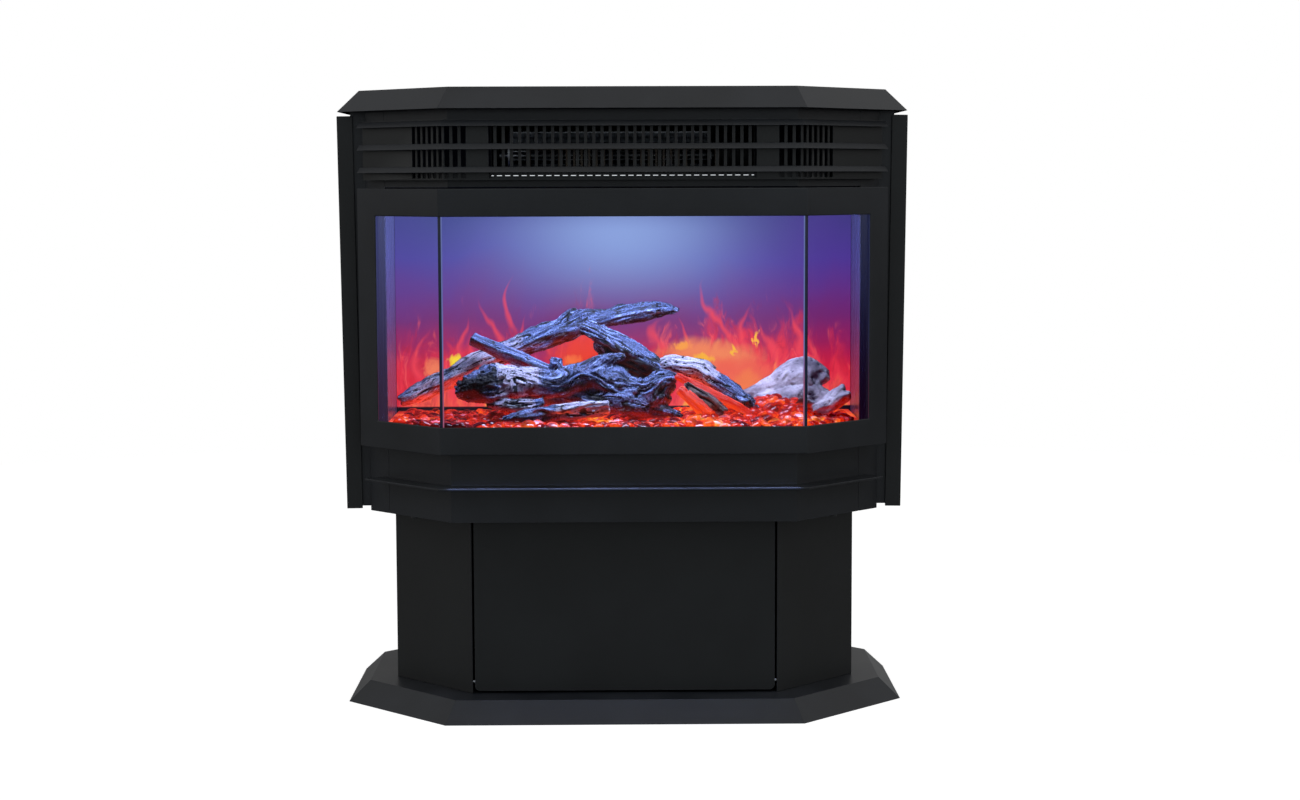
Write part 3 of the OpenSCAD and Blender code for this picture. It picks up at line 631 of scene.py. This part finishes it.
# -------------------- new pieces
def shaped(name, vertices, faces):
    mesh = bpy.data.meshes.new(name)
    mesh.from_pydata([tuple(v) for v in vertices], [], faces)
    mesh.update()
    return mesh


def placed(name, data):
    thing = bpy.data.objects.new(name, data)
    bpy.context.collection.objects.link(thing)
    return thing


def new_piece(name, vertices, faces, material, slot, smooth=True, body="root"):
    mesh = shaped(name, vertices, faces)
    mesh.materials.append(material)
    shade(mesh, smooth)
    piece = placed(name, mesh)
    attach(piece, body)
    return piece


def store(mesh, key, values):
    """Numbers or vectors for the materials, one to a vertex, kept within 10 either way."""
    values = np.clip(values, -10, 10).astype(np.float32)
    kind, field = ("FLOAT", "value") if values.ndim == 1 else ("FLOAT_VECTOR", "vector")
    mesh.attributes.new(key, kind, "POINT").data.foreach_set(field, values.ravel())


def block(low, high):
    """Corners and faces of a box."""
    xs, ys, zs = zip(low, high)
    corners = [(x, y, z) for x in xs for y in ys for z in zs]
    faces = [(0, 1, 3, 2), (4, 6, 7, 5), (0, 4, 5, 1), (2, 3, 7, 6), (0, 2, 6, 4), (1, 5, 7, 3)]
    return corners, faces


def joined(parts):
    """Several (vertices, faces) as one."""
    vertices, faces = [], []
    for some, loops in parts:
        base = len(vertices)
        vertices += some
        faces += [tuple(base + i for i in loop) for loop in loops]
    return vertices, faces


def screen_panel():
    low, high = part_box("flame_screen")
    piece = new_piece("flame_panel", *block(low, high), flame_screen(),
                      slot="flame_screen_film", smooth=False)
    round_edges(piece, 0.6 * MM)
    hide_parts("flame_screen")


def curve_through(stations, step):
    """Even rings along a smooth curve through [x, depth, z, radius] stations, in metres."""
    points = [np.array([*at(*s[:3]), s[3] * MM]) for s in stations]
    points = [2 * points[0] - points[1], *points, 2 * points[-1] - points[-2]]
    rings = []
    for a, b, c, d in zip(points, points[1:], points[2:], points[3:]):
        count = max(2, int(np.linalg.norm((c - b)[:3]) / step))
        for i in range(count):
            t = i / count
            rings.append(0.5 * (2 * b + (c - a) * t + (2 * a - 5 * b + 4 * c - d) * t ** 2
                                + (3 * b - a - 3 * c + d) * t ** 3))
    rings.append(points[-2])
    return rings


RING_STEP, LIMB_SIDES = 0.0035, 30
LUMP_SIZE, KNOB_SIZE = 0.034, 0.013
END_CAPS = ((0.75, 0.12), (0.42, 0.1), (0.12, 0.02))     # share of the radius, and how far out


def limb(stations, seed, flat=0.85, square=2.0, roll=0.0, lumps=0.2, jag=0.6, bare=(0.0, 0.0)):
    """A rough limb: (vertices, faces, line), where line is its centreline with the frame of
    each ring. square is 2 for a round section and more for a split one; bare is how pale the
    wood is along it, as a value for each end or as (place, value) stops; jag is how broken
    the ends are."""
    sides = LIMB_SIDES
    bare_stops = bare if isinstance(bare[0], tuple) else ((0.0, bare[0]), (1.0, bare[1]))
    rings = curve_through(stations, RING_STEP)
    offset = Vector((seed * 7.31, seed * 3.17, seed * 1.73))
    last = len(rings) - 1
    lengths = [0.0]
    for a, b in zip(rings, rings[1:]):
        lengths.append(lengths[-1] + float(np.linalg.norm((b - a)[:3])))
    total = lengths[-1]
    plan = [(0, share, -out) for share, out in reversed(END_CAPS)] \
        + [(i, 1.0, 0.0) for i in range(last + 1)] \
        + [(last, share, out) for share, out in END_CAPS]
    side = Vector((0.0, 0.0, 1.0))
    vertices, line = [], []
    for index, shrink, push in plan:
        centre = Vector(rings[index][:3])
        radius = float(rings[index][3])
        axis = (Vector(rings[min(index + 1, last)][:3])
                - Vector(rings[max(index - 1, 0)][:3])).normalized()
        side = (side - axis * side.dot(axis)).normalized()
        across = axis.cross(side)
        travelled = lengths[index]
        to_end = min(travelled, total - travelled)
        at_start = travelled < total / 2
        if shrink == 1.0:
            pale = np.interp(travelled / total, *zip(*bare_stops))
            line.append((*centre, radius, *side, *across, travelled, pale, seed))
        for j in range(sides):
            angle = 2 * math.pi * j / sides
            c, s = math.cos(angle), math.sin(angle)
            ct, st = abs(math.cos(angle - roll)), abs(math.sin(angle - roll))
            section = (ct ** square + st ** square) ** (-1 / square)
            lump = noise.noise(Vector((travelled / LUMP_SIZE, c * 1.1, s * 1.1)) + offset)
            knob = noise.noise(Vector((travelled / KNOB_SIZE, c * 2.4, s * 2.4)) - offset)
            reach = radius * section * shrink * (1.0 + lumps * lump + 0.35 * lumps * knob)
            broken = waver(c * 1.4, s * 1.4, seed + 9.0 * at_start)
            splinter = waver(c * 4.2, s * 4.2, seed * 2 + 4.0 * at_start)
            near = max(0.0, 1.0 - to_end / (radius * 1.8))
            slide = radius * (jag * (0.9 * broken + 0.6 * splinter) * near * shrink + push)
            vertices.append(centre + side * (c * reach) + across * (s * reach * flat)
                            + axis * slide)
    faces = []
    count = len(plan)
    for i in range(count - 1):
        for j in range(sides):
            a, b = i * sides + j, i * sides + (j + 1) % sides
            faces.append((a, b, b + sides, a + sides))
    faces.append(tuple(reversed(range(sides))))
    faces.append(tuple(range((count - 1) * sides, count * sides)))
    return vertices, faces, line


VOXEL = 0.0013


def grown_together(parts):
    """One closed mesh from overlapping parts."""
    rough = placed("rough", shaped("rough", *joined(parts)))
    remesh = rough.modifiers.new("voxels", "REMESH")
    remesh.mode = "VOXEL"
    remesh.voxel_size = VOXEL
    relax = rough.modifiers.new("relax", "SMOOTH")
    relax.iterations = 2
    graph = bpy.context.evaluated_depsgraph_get()
    whole = bpy.data.meshes.new_from_object(rough.evaluated_get(graph))
    bpy.data.objects.remove(rough)
    return whole


def vectors(collection, key):
    values = np.zeros(len(collection) * 3, np.float32)
    collection.foreach_get(key, values)
    return values.reshape(-1, 3).astype(float)


# marks in weathered wood, in metres: spacing along and across the fibres, and depth
RIB, FINE, SPLIT, CHIP = (0.03, 0.0042), (0.011, 0.002), (0.058, 0.007), (0.009, 0.006)
RIB_DEEP, FINE_DEEP, CHIP_DEEP, GASH_DEEP = 0.0017, 0.0007, 0.0014, 0.0036
HOLE, HOLE_DEEP, DIMPLE, DIMPLE_DEEP = 0.0055, 0.006, 0.016, 0.0026
NEAREST_AT_ONCE = 4000                   # vertices measured together, to spare memory


def carved(name, replaces, limbs, material=WOOD, grain=1.0, gashes=1.0,
           swirl=0.5, pits=0.0, hollows=(), ember_reach=42.0, ember=0.8):
    """A piece of weathered wood from its limbs: fibres and cracks follow the nearest limb; rib
    grooves, pits and hollows are also marked dark as painted shade. hollows are [x, depth, z,
    radius, how deep], and ember_reach is how high the painted red light of the embers climbs
    on it, all in millimetres; ember is how strong that painted light is."""
    mesh = grown_together([one[:2] for one in limbs])
    count = len(mesh.vertices)
    places, normals = vectors(mesh.vertices, "co"), vectors(mesh.vertex_normals, "vector")
    line = np.array([ring for one in limbs for ring in one[2]])
    nearest = np.zeros(count, int)
    for first in range(0, count, NEAREST_AT_ONCE):
        some = slice(first, first + NEAREST_AT_ONCE)
        away = np.linalg.norm(places[some, None] - line[None, :, :3], axis=2)
        nearest[some] = np.argmin(away / line[None, :, 3] ** 0.8, axis=1)
    own = line[nearest]
    local = places - own[:, :3]
    angle = np.arctan2(np.sum(local * own[:, 7:10], 1), np.sum(local * own[:, 4:7], 1))
    radius, travelled, pale, seed = own[:, 3], own[:, 10], own[:, 11], own[:, 12]
    travelled = travelled + np.sum(local * np.cross(own[:, 4:7], own[:, 7:10]), 1)

    fibre = np.zeros((count, 3))
    height = np.zeros(count)
    cracks_and_painted_shade = np.zeros(count)
    for i in range(count):
        offset = seed[i] * 5.3
        c, s = math.cos(angle[i]), math.sin(angle[i])
        bend = waver(travelled[i] / 0.045, c * 1.2 + offset, s * 1.2)
        turned = angle[i] + swirl * bend + 3.0 * travelled[i]
        a, b = radius[i] * math.cos(turned), radius[i] * math.sin(turned)
        fibre[i] = (travelled[i] + offset, a, b)
        t = travelled[i] + offset
        ribs, fine, split, chip = (waver(t / along, a / across, b / across)
                                   for along, across in (RIB, FINE, SPLIT, CHIP))
        gash = max(0.0, 1.0 - abs(split) / 0.07) ** 1.3
        height[i] = grain * (RIB_DEEP * (0.5 - abs(ribs) * 2.0) + FINE_DEEP * fine
                             + CHIP_DEEP * math.floor(chip * 3.0) / 3.0) \
            - gashes * GASH_DEEP * gash
        # black in cracks, with painted shade in the rib grooves
        cracks_and_painted_shade[i] = gashes * gash + grain * 0.55 * max(0.0, 1.0 - abs(ribs) / 0.12)
        if pits:
            hole = noise.noise(Vector(places[i]) / HOLE + Vector((offset, 0, 0)))
            dimple = noise.noise(Vector(places[i]) / DIMPLE + Vector((0, offset, 0)))
            deep = max(0.0, hole - 0.28)
            height[i] += pits * (DIMPLE_DEEP * dimple - HOLE_DEEP * deep)
            # painted shade in the holes
            cracks_and_painted_shade[i] += pits * 1.6 * deep
    moved = places + normals * height[:, None]
    for x, depth, z, r, deep in hollows:
        centre = np.array(at(x, depth, z))
        fall = np.exp(-(np.linalg.norm(places - centre, axis=1) / (r * MM)) ** 2)
        moved -= normals * (fall * deep * MM)[:, None]
        # hollows painted dark as shade
        cracks_and_painted_shade += fall * 1.1
    above = np.clip((moved[:, 2] - top_of("ember_tray")) / MM, 0.0, None)
    # painted ember light: a red glow on down-facing faces near the tray
    facing = -0.9 * normals[:, 2] - 0.25 * normals[:, 1]
    under = ember * np.clip((facing - 0.34) / 0.42, 0.0, 1.0) \
        * np.exp(-(above / ember_reach) ** 2)
    mesh.vertices.foreach_set("co", moved.astype(np.float32).ravel())
    for key, values in (("fibre", fibre), ("cracks_and_painted_shade", cracks_and_painted_shade), ("bare", pale), ("under", under)):
        store(mesh, key, values)
    mesh.update()
    mesh.materials.clear()
    mesh.materials.append(material)
    shade(mesh)
    piece = placed(name, mesh)
    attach(piece, "root")
    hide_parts(replaces)


def log_set():
    carved("back_log", "log_back", [
        limb([(-264, 126, 361, 8), (-240, 128, 372, 11.5), (-210, 132, 387, 12),
              (-163, 140, 410, 13), (-120, 146, 427, 14), (-93, 150, 437, 15.5),
              (-62, 152, 449, 16), (-40, 152, 456, 14), (-20, 152, 458, 12),
              (20, 154, 465, 13), (46, 155, 468, 9), (66, 155, 467, 3)], 1.0, lumps=0.26,
             square=1.35, flat=0.85,
             bare=((0.0, 0.42), (0.3, 0.62), (0.44, 0.4), (0.56, 0.03), (1.0, 0.06))),
        limb([(-72, 150, 452, 9), (-60, 150, 462, 8), (-54, 150, 467, 4)], 1.4, lumps=0.4),
    ], swirl=0.3, ember_reach=62.0)
    carved("left_stick", "log_left_stick", [
        limb([(-178, 112, 436, 7), (-150, 110, 424, 7.5), (-118, 106, 410, 8),
              (-86, 103, 396, 7.5)], 2.0, square=5.0, roll=0.5, flat=1.0, lumps=0.12, jag=0.4,
             bare=(0.12, 0.08))],
        grain=0.6, gashes=0.4, ember_reach=88.0,
        ember=0.5)
    carved("right_diagonal", "log_right_diagonal", [
        limb([(-47, 122, 450, 10), (-20, 120, 436, 13), (15, 116, 416, 13),
              (46, 112, 397, 11)], 3.0, square=1.35, lumps=0.2, jag=0.9, flat=1.0,
             bare=(0.12, 0.05)),
        limb([(-32, 126, 432, 8), (-6, 128, 413, 15), (20, 126, 399, 18), (44, 120, 388, 12)],
             3.3, lumps=0.25)],
        grain=1.3, ember_reach=24.0, ember=0.3,
        # these hollows also paint the undercut dark as shade
        hollows=((-8, 114, 409, 14, 1), (12, 112, 399, 15, 1), (32, 108, 389, 13, 1)))
    carved("centre_driftwood", "driftwood_center", [
        limb([(-194, 82, 377, 8), (-182, 80, 380, 15), (-167, 80, 382.5, 20),
              (-150, 80, 385, 23.5), (-133, 82, 387, 19.5), (-113, 83, 387, 17),
              (-93, 83, 386, 17), (-73, 83, 387, 17.5), (-54, 86, 393, 15.5),
              (-32, 86, 394, 15.5), (-14, 82, 386, 20), (0, 79, 376, 21), (20, 77, 370, 22.5),
              (35, 76, 374, 22), (49, 75, 386, 17.5), (59, 74, 387, 11)],
             4.0, lumps=0.24, jag=0.5,
             bare=((0.0, 0.1), (0.14, 0.15), (0.23, 0.9), (0.32, 0.8), (0.42, 0.08),
                   (1.0, 0.05))),
        limb([(-60, 84, 393, 11), (-42, 84, 401, 11), (-23, 83, 410, 9.5), (-9, 82, 415, 6),
              (3, 81, 417, 2.5)], 4.3, lumps=0.25, jag=0.2),
        limb([(-150, 92, 371, 9), (-100, 94, 370, 11), (-60, 92, 370, 12), (-36, 82, 367, 12),
              (-9, 72, 366, 14), (18, 68, 361, 15), (34, 70, 358, 12)], 4.5,
             bare=(0.05, 0.05)),
        limb([(10, 72, 358, 12), (36, 68, 355, 11), (50, 66, 352.5, 10), (60, 64, 349.5, 7.5),
              (69, 63, 346.5, 4)], 4.8, lumps=0.3),
        limb([(-158, 72, 363, 4), (-135, 67, 362, 7.5), (-113, 67, 361, 8), (-94, 72, 363, 6.5)],
             4.2, bare=((0.0, 0.9), (0.7, 0.8), (1.0, 0.1))),
        limb([(-88, 97, 392, 7.5), (-80, 92, 403, 8.5), (-77, 84, 411, 9)], 4.9, lumps=0.3),
    ], swirl=1.0, grain=1.25, ember=0.5,
        ember_reach=36.0, hollows=(
        (-40, 66, 377, 11, 8), (-60, 66, 374, 8, 5), (-8, 56, 386, 5, 3), (-172, 62, 374, 6, 4),
        (-182, 66, 384, 12, 2), (-160, 60, 396, 10, 1),
        (58, 60, 367, 9, 10), (42, 58, 378, 5, 4), (-128, 62, 372, 6, 3)))
    carved("front_stick", "log_front_stick", [
        limb([(-139, 42, 347, 4), (-115, 42, 350.5, 8), (-75, 42, 355.5, 9),
              (-18, 42, 361, 8.5)], 5.0, square=3.5, lumps=0.24,
             bare=((0.0, 0.05), (0.5, 0.1), (0.57, 1.0), (1.0, 1.0)))],
        ember=0.4, hollows=((-46, 35, 357, 3.5, 4),))
    carved("right_front_log", "log_right_front", [
        limb([(44, 90, 406, 8.5), (54, 89, 408, 10.5), (66, 88, 405, 12), (86, 87, 401, 12.5),
              (104, 85, 390, 12.5), (122, 82, 377, 12), (142, 77, 363, 11.5), (158, 72, 354, 7)],
             6.0, square=1.5, lumps=0.2,
             bare=((0.0, 1.0), (0.42, 0.9), (0.56, 0.2), (1.0, 0.05))),
        limb([(132, 80, 369, 9), (146, 70, 360, 11)], 6.5, lumps=0.4),
        limb([(80, 94, 409, 5), (94, 94, 407, 5), (106, 93, 400, 4)], 6.7, bare=(0.9, 0.5)),
    ], swirl=0.3, ember_reach=60.0, ember=0.4,
        hollows=((147, 60, 359, 6, 8), (162, 64, 352, 5, 4)))
    carved("glowing_stick", "log_under_right", [
        limb([(61, 66, 396, 4), (90, 64, 381, 5.5), (120, 62, 366, 5.5), (148, 60, 351, 4)],
             7.0, square=3.0, bare=(1.0, 1.0)),
        limb([(64, 54, 381, 5), (80, 52, 368, 7.5), (98, 50, 351, 7)], 7.2, square=3.0,
             bare=(1.0, 1.0)),
        limb([(72, 58, 386, 4), (94, 56, 370, 7.5), (116, 54, 353, 6)], 7.4, square=3.0),
    ], WARM_WOOD, grain=0.6, ember_reach=60.0)
    carved("right_driftwood", "driftwood_right", [
        limb([(128, 118, 362, 6), (155, 118, 368, 11), (176, 119, 375, 16),
              (198, 121, 384, 22), (216, 122, 387, 25), (232, 122, 378, 20)], 8.0,
             flat=0.9, lumps=0.22),
        limb([(160, 110, 360, 12), (205, 108, 363, 20), (238, 108, 360, 15)], 8.4, lumps=0.3),
    ], STONE, grain=0.25, gashes=0.15, pits=0.7,
        hollows=((231, 98, 392, 7, 9), (204, 96, 388, 4, 3), (222, 92, 372, 5, 4)))
    carved("right_stone", "stone_right", [
        limb([(224, 90, 352, 8), (238, 93, 358, 10.5), (252, 95, 367, 12), (260, 96, 373, 10)],
             9.0, flat=0.95, lumps=0.35),
    ], STONE, grain=0.2, gashes=0.1, pits=0.9,
        hollows=((261, 85, 362, 4, 5), (255, 84, 376, 3, 3)))


def bead_shape(rings, sides):
    """A ball: unit directions and faces."""
    points = [Vector((0, 0, -1))]
    for i in range(1, rings):
        lift = math.pi * i / rings - math.pi / 2
        for j in range(sides):
            turn = 2 * math.pi * (j + 0.5 * (i % 2)) / sides
            points.append(Vector((math.cos(lift) * math.cos(turn),
                                  math.cos(lift) * math.sin(turn), math.sin(lift))))
    points.append(Vector((0, 0, 1)))
    faces = [(0, 1 + (j + 1) % sides, 1 + j) for j in range(sides)]
    for i in range(rings - 2):
        low = 1 + i * sides
        for j in range(sides):
            k = (j + 1) % sides
            faces.append((low + j, low + k, low + sides + k, low + sides + j))
    low = 1 + (rings - 2) * sides
    top = len(points) - 1
    faces += [(low + j, low + (j + 1) % sides, top) for j in range(sides)]
    return points, faces


# heaps of beads: x, depth, radius and height, in millimetres
MOUNDS = ((178, 84, 34, 26), (105, 104, 44, 12), (-122, 86, 30, 12), (86, 44, 26, 6))
BED_FRONT, BED_BACK = 13.0, 204.0        # depths of the first row and of the last bead
BEAD_PITCH, BEAD_ROWS, BEADS_EACH_WAY = 14.4, 19, 22
FINE_BEADS_TO = 60                       # depth up to which beads get the finer mesh


def bed_height(x, depth):
    """How high the beads are heaped, in millimetres above the flat bed."""
    return sum(h * math.exp(-((x - mx) ** 2 + (depth - md) ** 2) / (w * w))
               for mx, md, w, h in MOUNDS)


def glass_beads():
    """Loose flattened nuggets over the ember tray."""
    draw = random.Random(41)
    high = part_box("ember_glass_bed")[1]
    base = top_of("ember_tray") / MM
    fine, coarse = bead_shape(10, 18), bead_shape(6, 10)
    vertices, faces, tints, rises = [], [], [], []
    half = high[0] / MM - 4
    for layer in range(2):
        for row in range(BEAD_ROWS):
            depth = BED_FRONT + row * BEAD_PITCH * 0.8 + 4.0 * layer
            for col in range(-BEADS_EACH_WAY, BEADS_EACH_WAY + 1):
                x = (col + 0.5 * ((row + layer) % 2)) * BEAD_PITCH + draw.uniform(-3.0, 3.0)
                d = depth + draw.uniform(-2.5, 2.5)
                size = draw.uniform(6.6, 10.0)
                inset = 5.0 + 0.8 * size
                if abs(x) > half - size or abs(x) - d > BAY_HALF - inset * math.sqrt(2) \
                        or d < inset or d > BED_BACK:
                    continue
                points, loops = fine if d < FINE_BEADS_TO else coarse
                size *= MM
                shape = (size * draw.uniform(0.85, 1.2), size * draw.uniform(0.8, 1.1),
                         size * draw.uniform(0.4, 0.66))
                turn = Matrix.Rotation(draw.uniform(0, math.pi), 3, "Z") \
                    @ Matrix.Rotation(draw.uniform(-0.75, 0.75), 3, "X") \
                    @ Matrix.Rotation(draw.uniform(-0.5, 0.5), 3, "Y")
                heap = bed_height(x, d)
                if layer and d > 120 and heap < 3.0:
                    continue
                lift = base - 0.8 + layer * 1.8 + draw.uniform(0.0, 0.9) + heap
                centre = at(x, d, lift)
                first = len(vertices)
                wave = Vector((draw.uniform(0, 50), 0, 0))
                for p in points:
                    r = 1.0 + 0.09 * noise.noise(p * 1.2 + wave)
                    vertices.append(centre + turn @ Vector(
                        (p.x * shape[0] * r, p.y * shape[1] * r, p.z * shape[2] * r)))
                    rises.append(p.z)
                faces += [tuple(first + i for i in loop) for loop in loops]
                tints += [draw.random()] * len(points)
    piece = new_piece("glass_beads", vertices, faces, BEADS, slot="bead_glass")
    store(piece.data, "tint", tints)
    store(piece.data, "rise", rises)
    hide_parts("ember_glass_bed")


HEAP_STEP = 6.0


def mound_cores():
    """A glowing sheet under the raised beads: painted light for the tray's glow inside the heaps.
    """
    vertices, faces = [], []
    base = top_of("ember_tray") / MM
    index = {}
    for i, x in enumerate(np.arange(-265, 266, HEAP_STEP)):
        for j, d in enumerate(np.arange(26, BED_BACK - 6, HEAP_STEP)):
            if abs(x) - d > BAY_HALF - 30:
                continue
            index[i, j] = len(vertices)
            vertices.append(at(x, d, base + 1.0 + bed_height(x, d)))
    for i, j in index:
        loop = [(i, j), (i + 1, j), (i + 1, j + 1), (i, j + 1)]
        if all(k in index for k in loop):
            faces.append(tuple(index[k] for k in loop))
    piece = new_piece("heap_painted_glow", vertices, faces, EMBER, slot="bead_glass")
    solid = piece.modifiers.new("thickness", "SOLIDIFY")
    solid.thickness = 0.8 * MM
    solid.offset = -1.0


def light_leak():
    """The slit of LED light behind the feet of the grille's middle slots."""
    low, high = at(-148, 19.0, 626.5), at(148, 20.0, 627.3)
    piece = new_piece("light_slit", *block(low, high),
                      light_source("slit_light", (0.9, 0.95, 1.0), 0.75),
                      slot="led_board", smooth=False)
    round_edges(piece, 0.2 * MM)


# rows of lit chips: depth, height, how many, and half the row's length, in millimetres
CHIP_ROWS = ((22, 596.2, 24, 180), (125, 319.8, 20, 190), (303, 319.8, 30, 215))
CHIP_HALF = (1.8, 1.4, 0.4)              # half of each chip's size


def led_chips():
    """Small lit chips along the three boards."""
    wide, deep, tall = CHIP_HALF
    parts = []
    for depth, z, count, half in CHIP_ROWS:
        for i in range(count):
            x = -half + 2 * half * i / (count - 1)
            parts.append(block(at(x - wide, depth - deep, z - tall),
                               at(x + wide, depth + deep, z + tall)))
    piece = new_piece("led_chips", *joined(parts),
                      light_source("chip_light", (0.75, 0.85, 1.0), 6.0),
                      slot="led_board", smooth=False)
    round_edges(piece, 0.2 * MM)


screen_panel()
log_set()
glass_beads()
mound_cores()
light_leak()
led_chips()


# -------------------- stage, light and camera
FLOOR_RADIUS, FLOOR_SIDES = 2.6, 96


def floor():
    turns = [2 * math.pi * i / FLOOR_SIDES for i in range(FLOOR_SIDES)]
    mesh = shaped("floor", [(FLOOR_RADIUS * math.cos(t), FLOOR_RADIUS * math.sin(t), 0.0)
                            for t in turns], [tuple(range(FLOOR_SIDES))])
    disc = placed("floor", mesh)
    g = Graph("pale_floor")
    mottle = g.noise(g.place(), 3.0, 2.0)
    tone = g.mix(mottle, (0.3, 0.3, 0.3), (0.33, 0.33, 0.33))
    mesh.materials.append(g.principled(color=tone, roughness=0.9, specular=0.1, glow=WHITE,
                                       glow_strength=g.times(g.seen(), 0.9)))


# the studio's light, as steps to add up: axis of the direction, from and to along it, and
# the light at either end
STUDIO_STEPS = (
    (2, -0.08, 0.07, 0.01, 0.62), (2, 0.12, 0.5, 0.0, -0.52), (2, 0.34, 0.58, 0.0, 0.54),
    (2, 0.66, 0.95, 0.0, -0.38), (1, -0.55, 0.6, 0.0, -0.22), (0, -0.3, 0.4, 0.0, 0.18),
    (0, 0.45, 0.9, 0.0, -0.12), (0, -0.9, -0.45, 0.14, 0.0))


def studio():
    """Pale surroundings: white to the eye, dim in front of the object, brighter at its sides."""
    g = Graph("studio", bpy.data.worlds.new("studio"))
    axes = g.axes(g.add("ShaderNodeTexCoord").outputs["Generated"])
    total = 0.0
    for axis, low, high, from_light, to_light in STUDIO_STEPS:
        total = g.plus(total, g.step(axes[axis], low, high, from_light, to_light))
    strength = g.add("ShaderNodeMix", {0: g.seen(), 2: total, 3: 1.0}, data_type="FLOAT")
    tint = g.mix(g.step(axes[1], -0.9, -0.4), NEAR_WHITE, WHITE)
    bpy.context.scene.world = g.show(g.add("ShaderNodeBackground", {
        "Color": g.mix(g.seen(), tint, WHITE), "Strength": strength.outputs[0]}))


def area_light(name, place, aim, size, power, colour=WHITE):
    light = bpy.data.lights.new(name, "AREA")
    light.shape = "RECTANGLE"
    light.size, light.size_y = size
    light.energy = power
    light.color = colour
    lamp = placed(name, light)
    lamp.location = place
    lamp.rotation_euler = (Vector(aim) - Vector(place)).to_track_quat("-Z", "Y").to_euler()
    lamp.visible_camera = False


# lights just over the tray: x and depth in millimetres, and relative power
GLOW_UP, GLOW_POWER = 0.015, 0.4
EMBER_LIGHTS = ((-215, 110, 0.1), (-120, 110, 0.12), (-30, 112, 0.12), (60, 110, 0.14),
                (112, 84, 0.12), (215, 120, 0.06), (-60, 40, 0.05), (60, 34, 0.05))


def lights():
    area_light("top_softbox", (0.0, -0.5, 2.6), (0.0, 0.0, 0.0), (2.2, 1.6), 5.5)
    area_light("left_softbox", (-2.2, -0.9, 2.0), (0.0, 0.0, 0.5), (1.2, 1.4), 5.0)
    area_light("right_softbox", (2.2, -0.9, 2.0), (0.0, 0.0, 0.5), (1.2, 1.4), 4.0)
    spill = at(0, -2.0, 276.5)
    area_light("window_spill", spill, (0.0, spill.y + 0.001, 0.0), (0.4, 0.002), 0.075,
               (0.42, 0.52, 1.0))
    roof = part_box("firebox_roof")[0][2]
    area_light("log_light", (0.0, FRONT + 0.022, roof - 0.006), at(0, 95, 385),
               (0.4, 0.014), 2.8, (0.56, 0.66, 1.0))
    glow_z = top_of("ember_tray") + GLOW_UP
    for x, d, power in EMBER_LIGHTS:
        spot = at(x, d, 0)
        area_light(f"ember_{x}_{d}", (spot.x, spot.y, glow_z), (spot.x, spot.y, 1.0),
                   (0.1, 0.06 if d > 60 else 0.02), GLOW_POWER * power, (1.0, 0.085, 0.02))


# the photo's camera, as solved from its edges: metres in front of the window and above the
# floor, lens in millimetres, and turns in degrees
EYE_BACK, EYE_UP, LENS = 2.53125, 0.6215, 62.31
PAN, TILT, ROLL = -0.671, -5.584, -0.184


def camera():
    data = bpy.data.cameras.new("camera")
    data.sensor_width = 36.0
    data.lens = LENS
    data.clip_end = 50.0
    eye = placed("camera", data)
    eye.location = (0.0, FRONT - EYE_BACK, EYE_UP)
    turn = Matrix.Rotation(math.radians(PAN), 4, "Z") \
        @ Matrix.Rotation(math.radians(90 + TILT), 4, "X") \
        @ Matrix.Rotation(math.radians(ROLL), 4, "Z")
    eye.rotation_euler = turn.to_euler()
    bpy.context.scene.camera = eye


floor()
studio()
lights()
camera()
bpy.context.scene.view_settings.view_transform = "Standard"
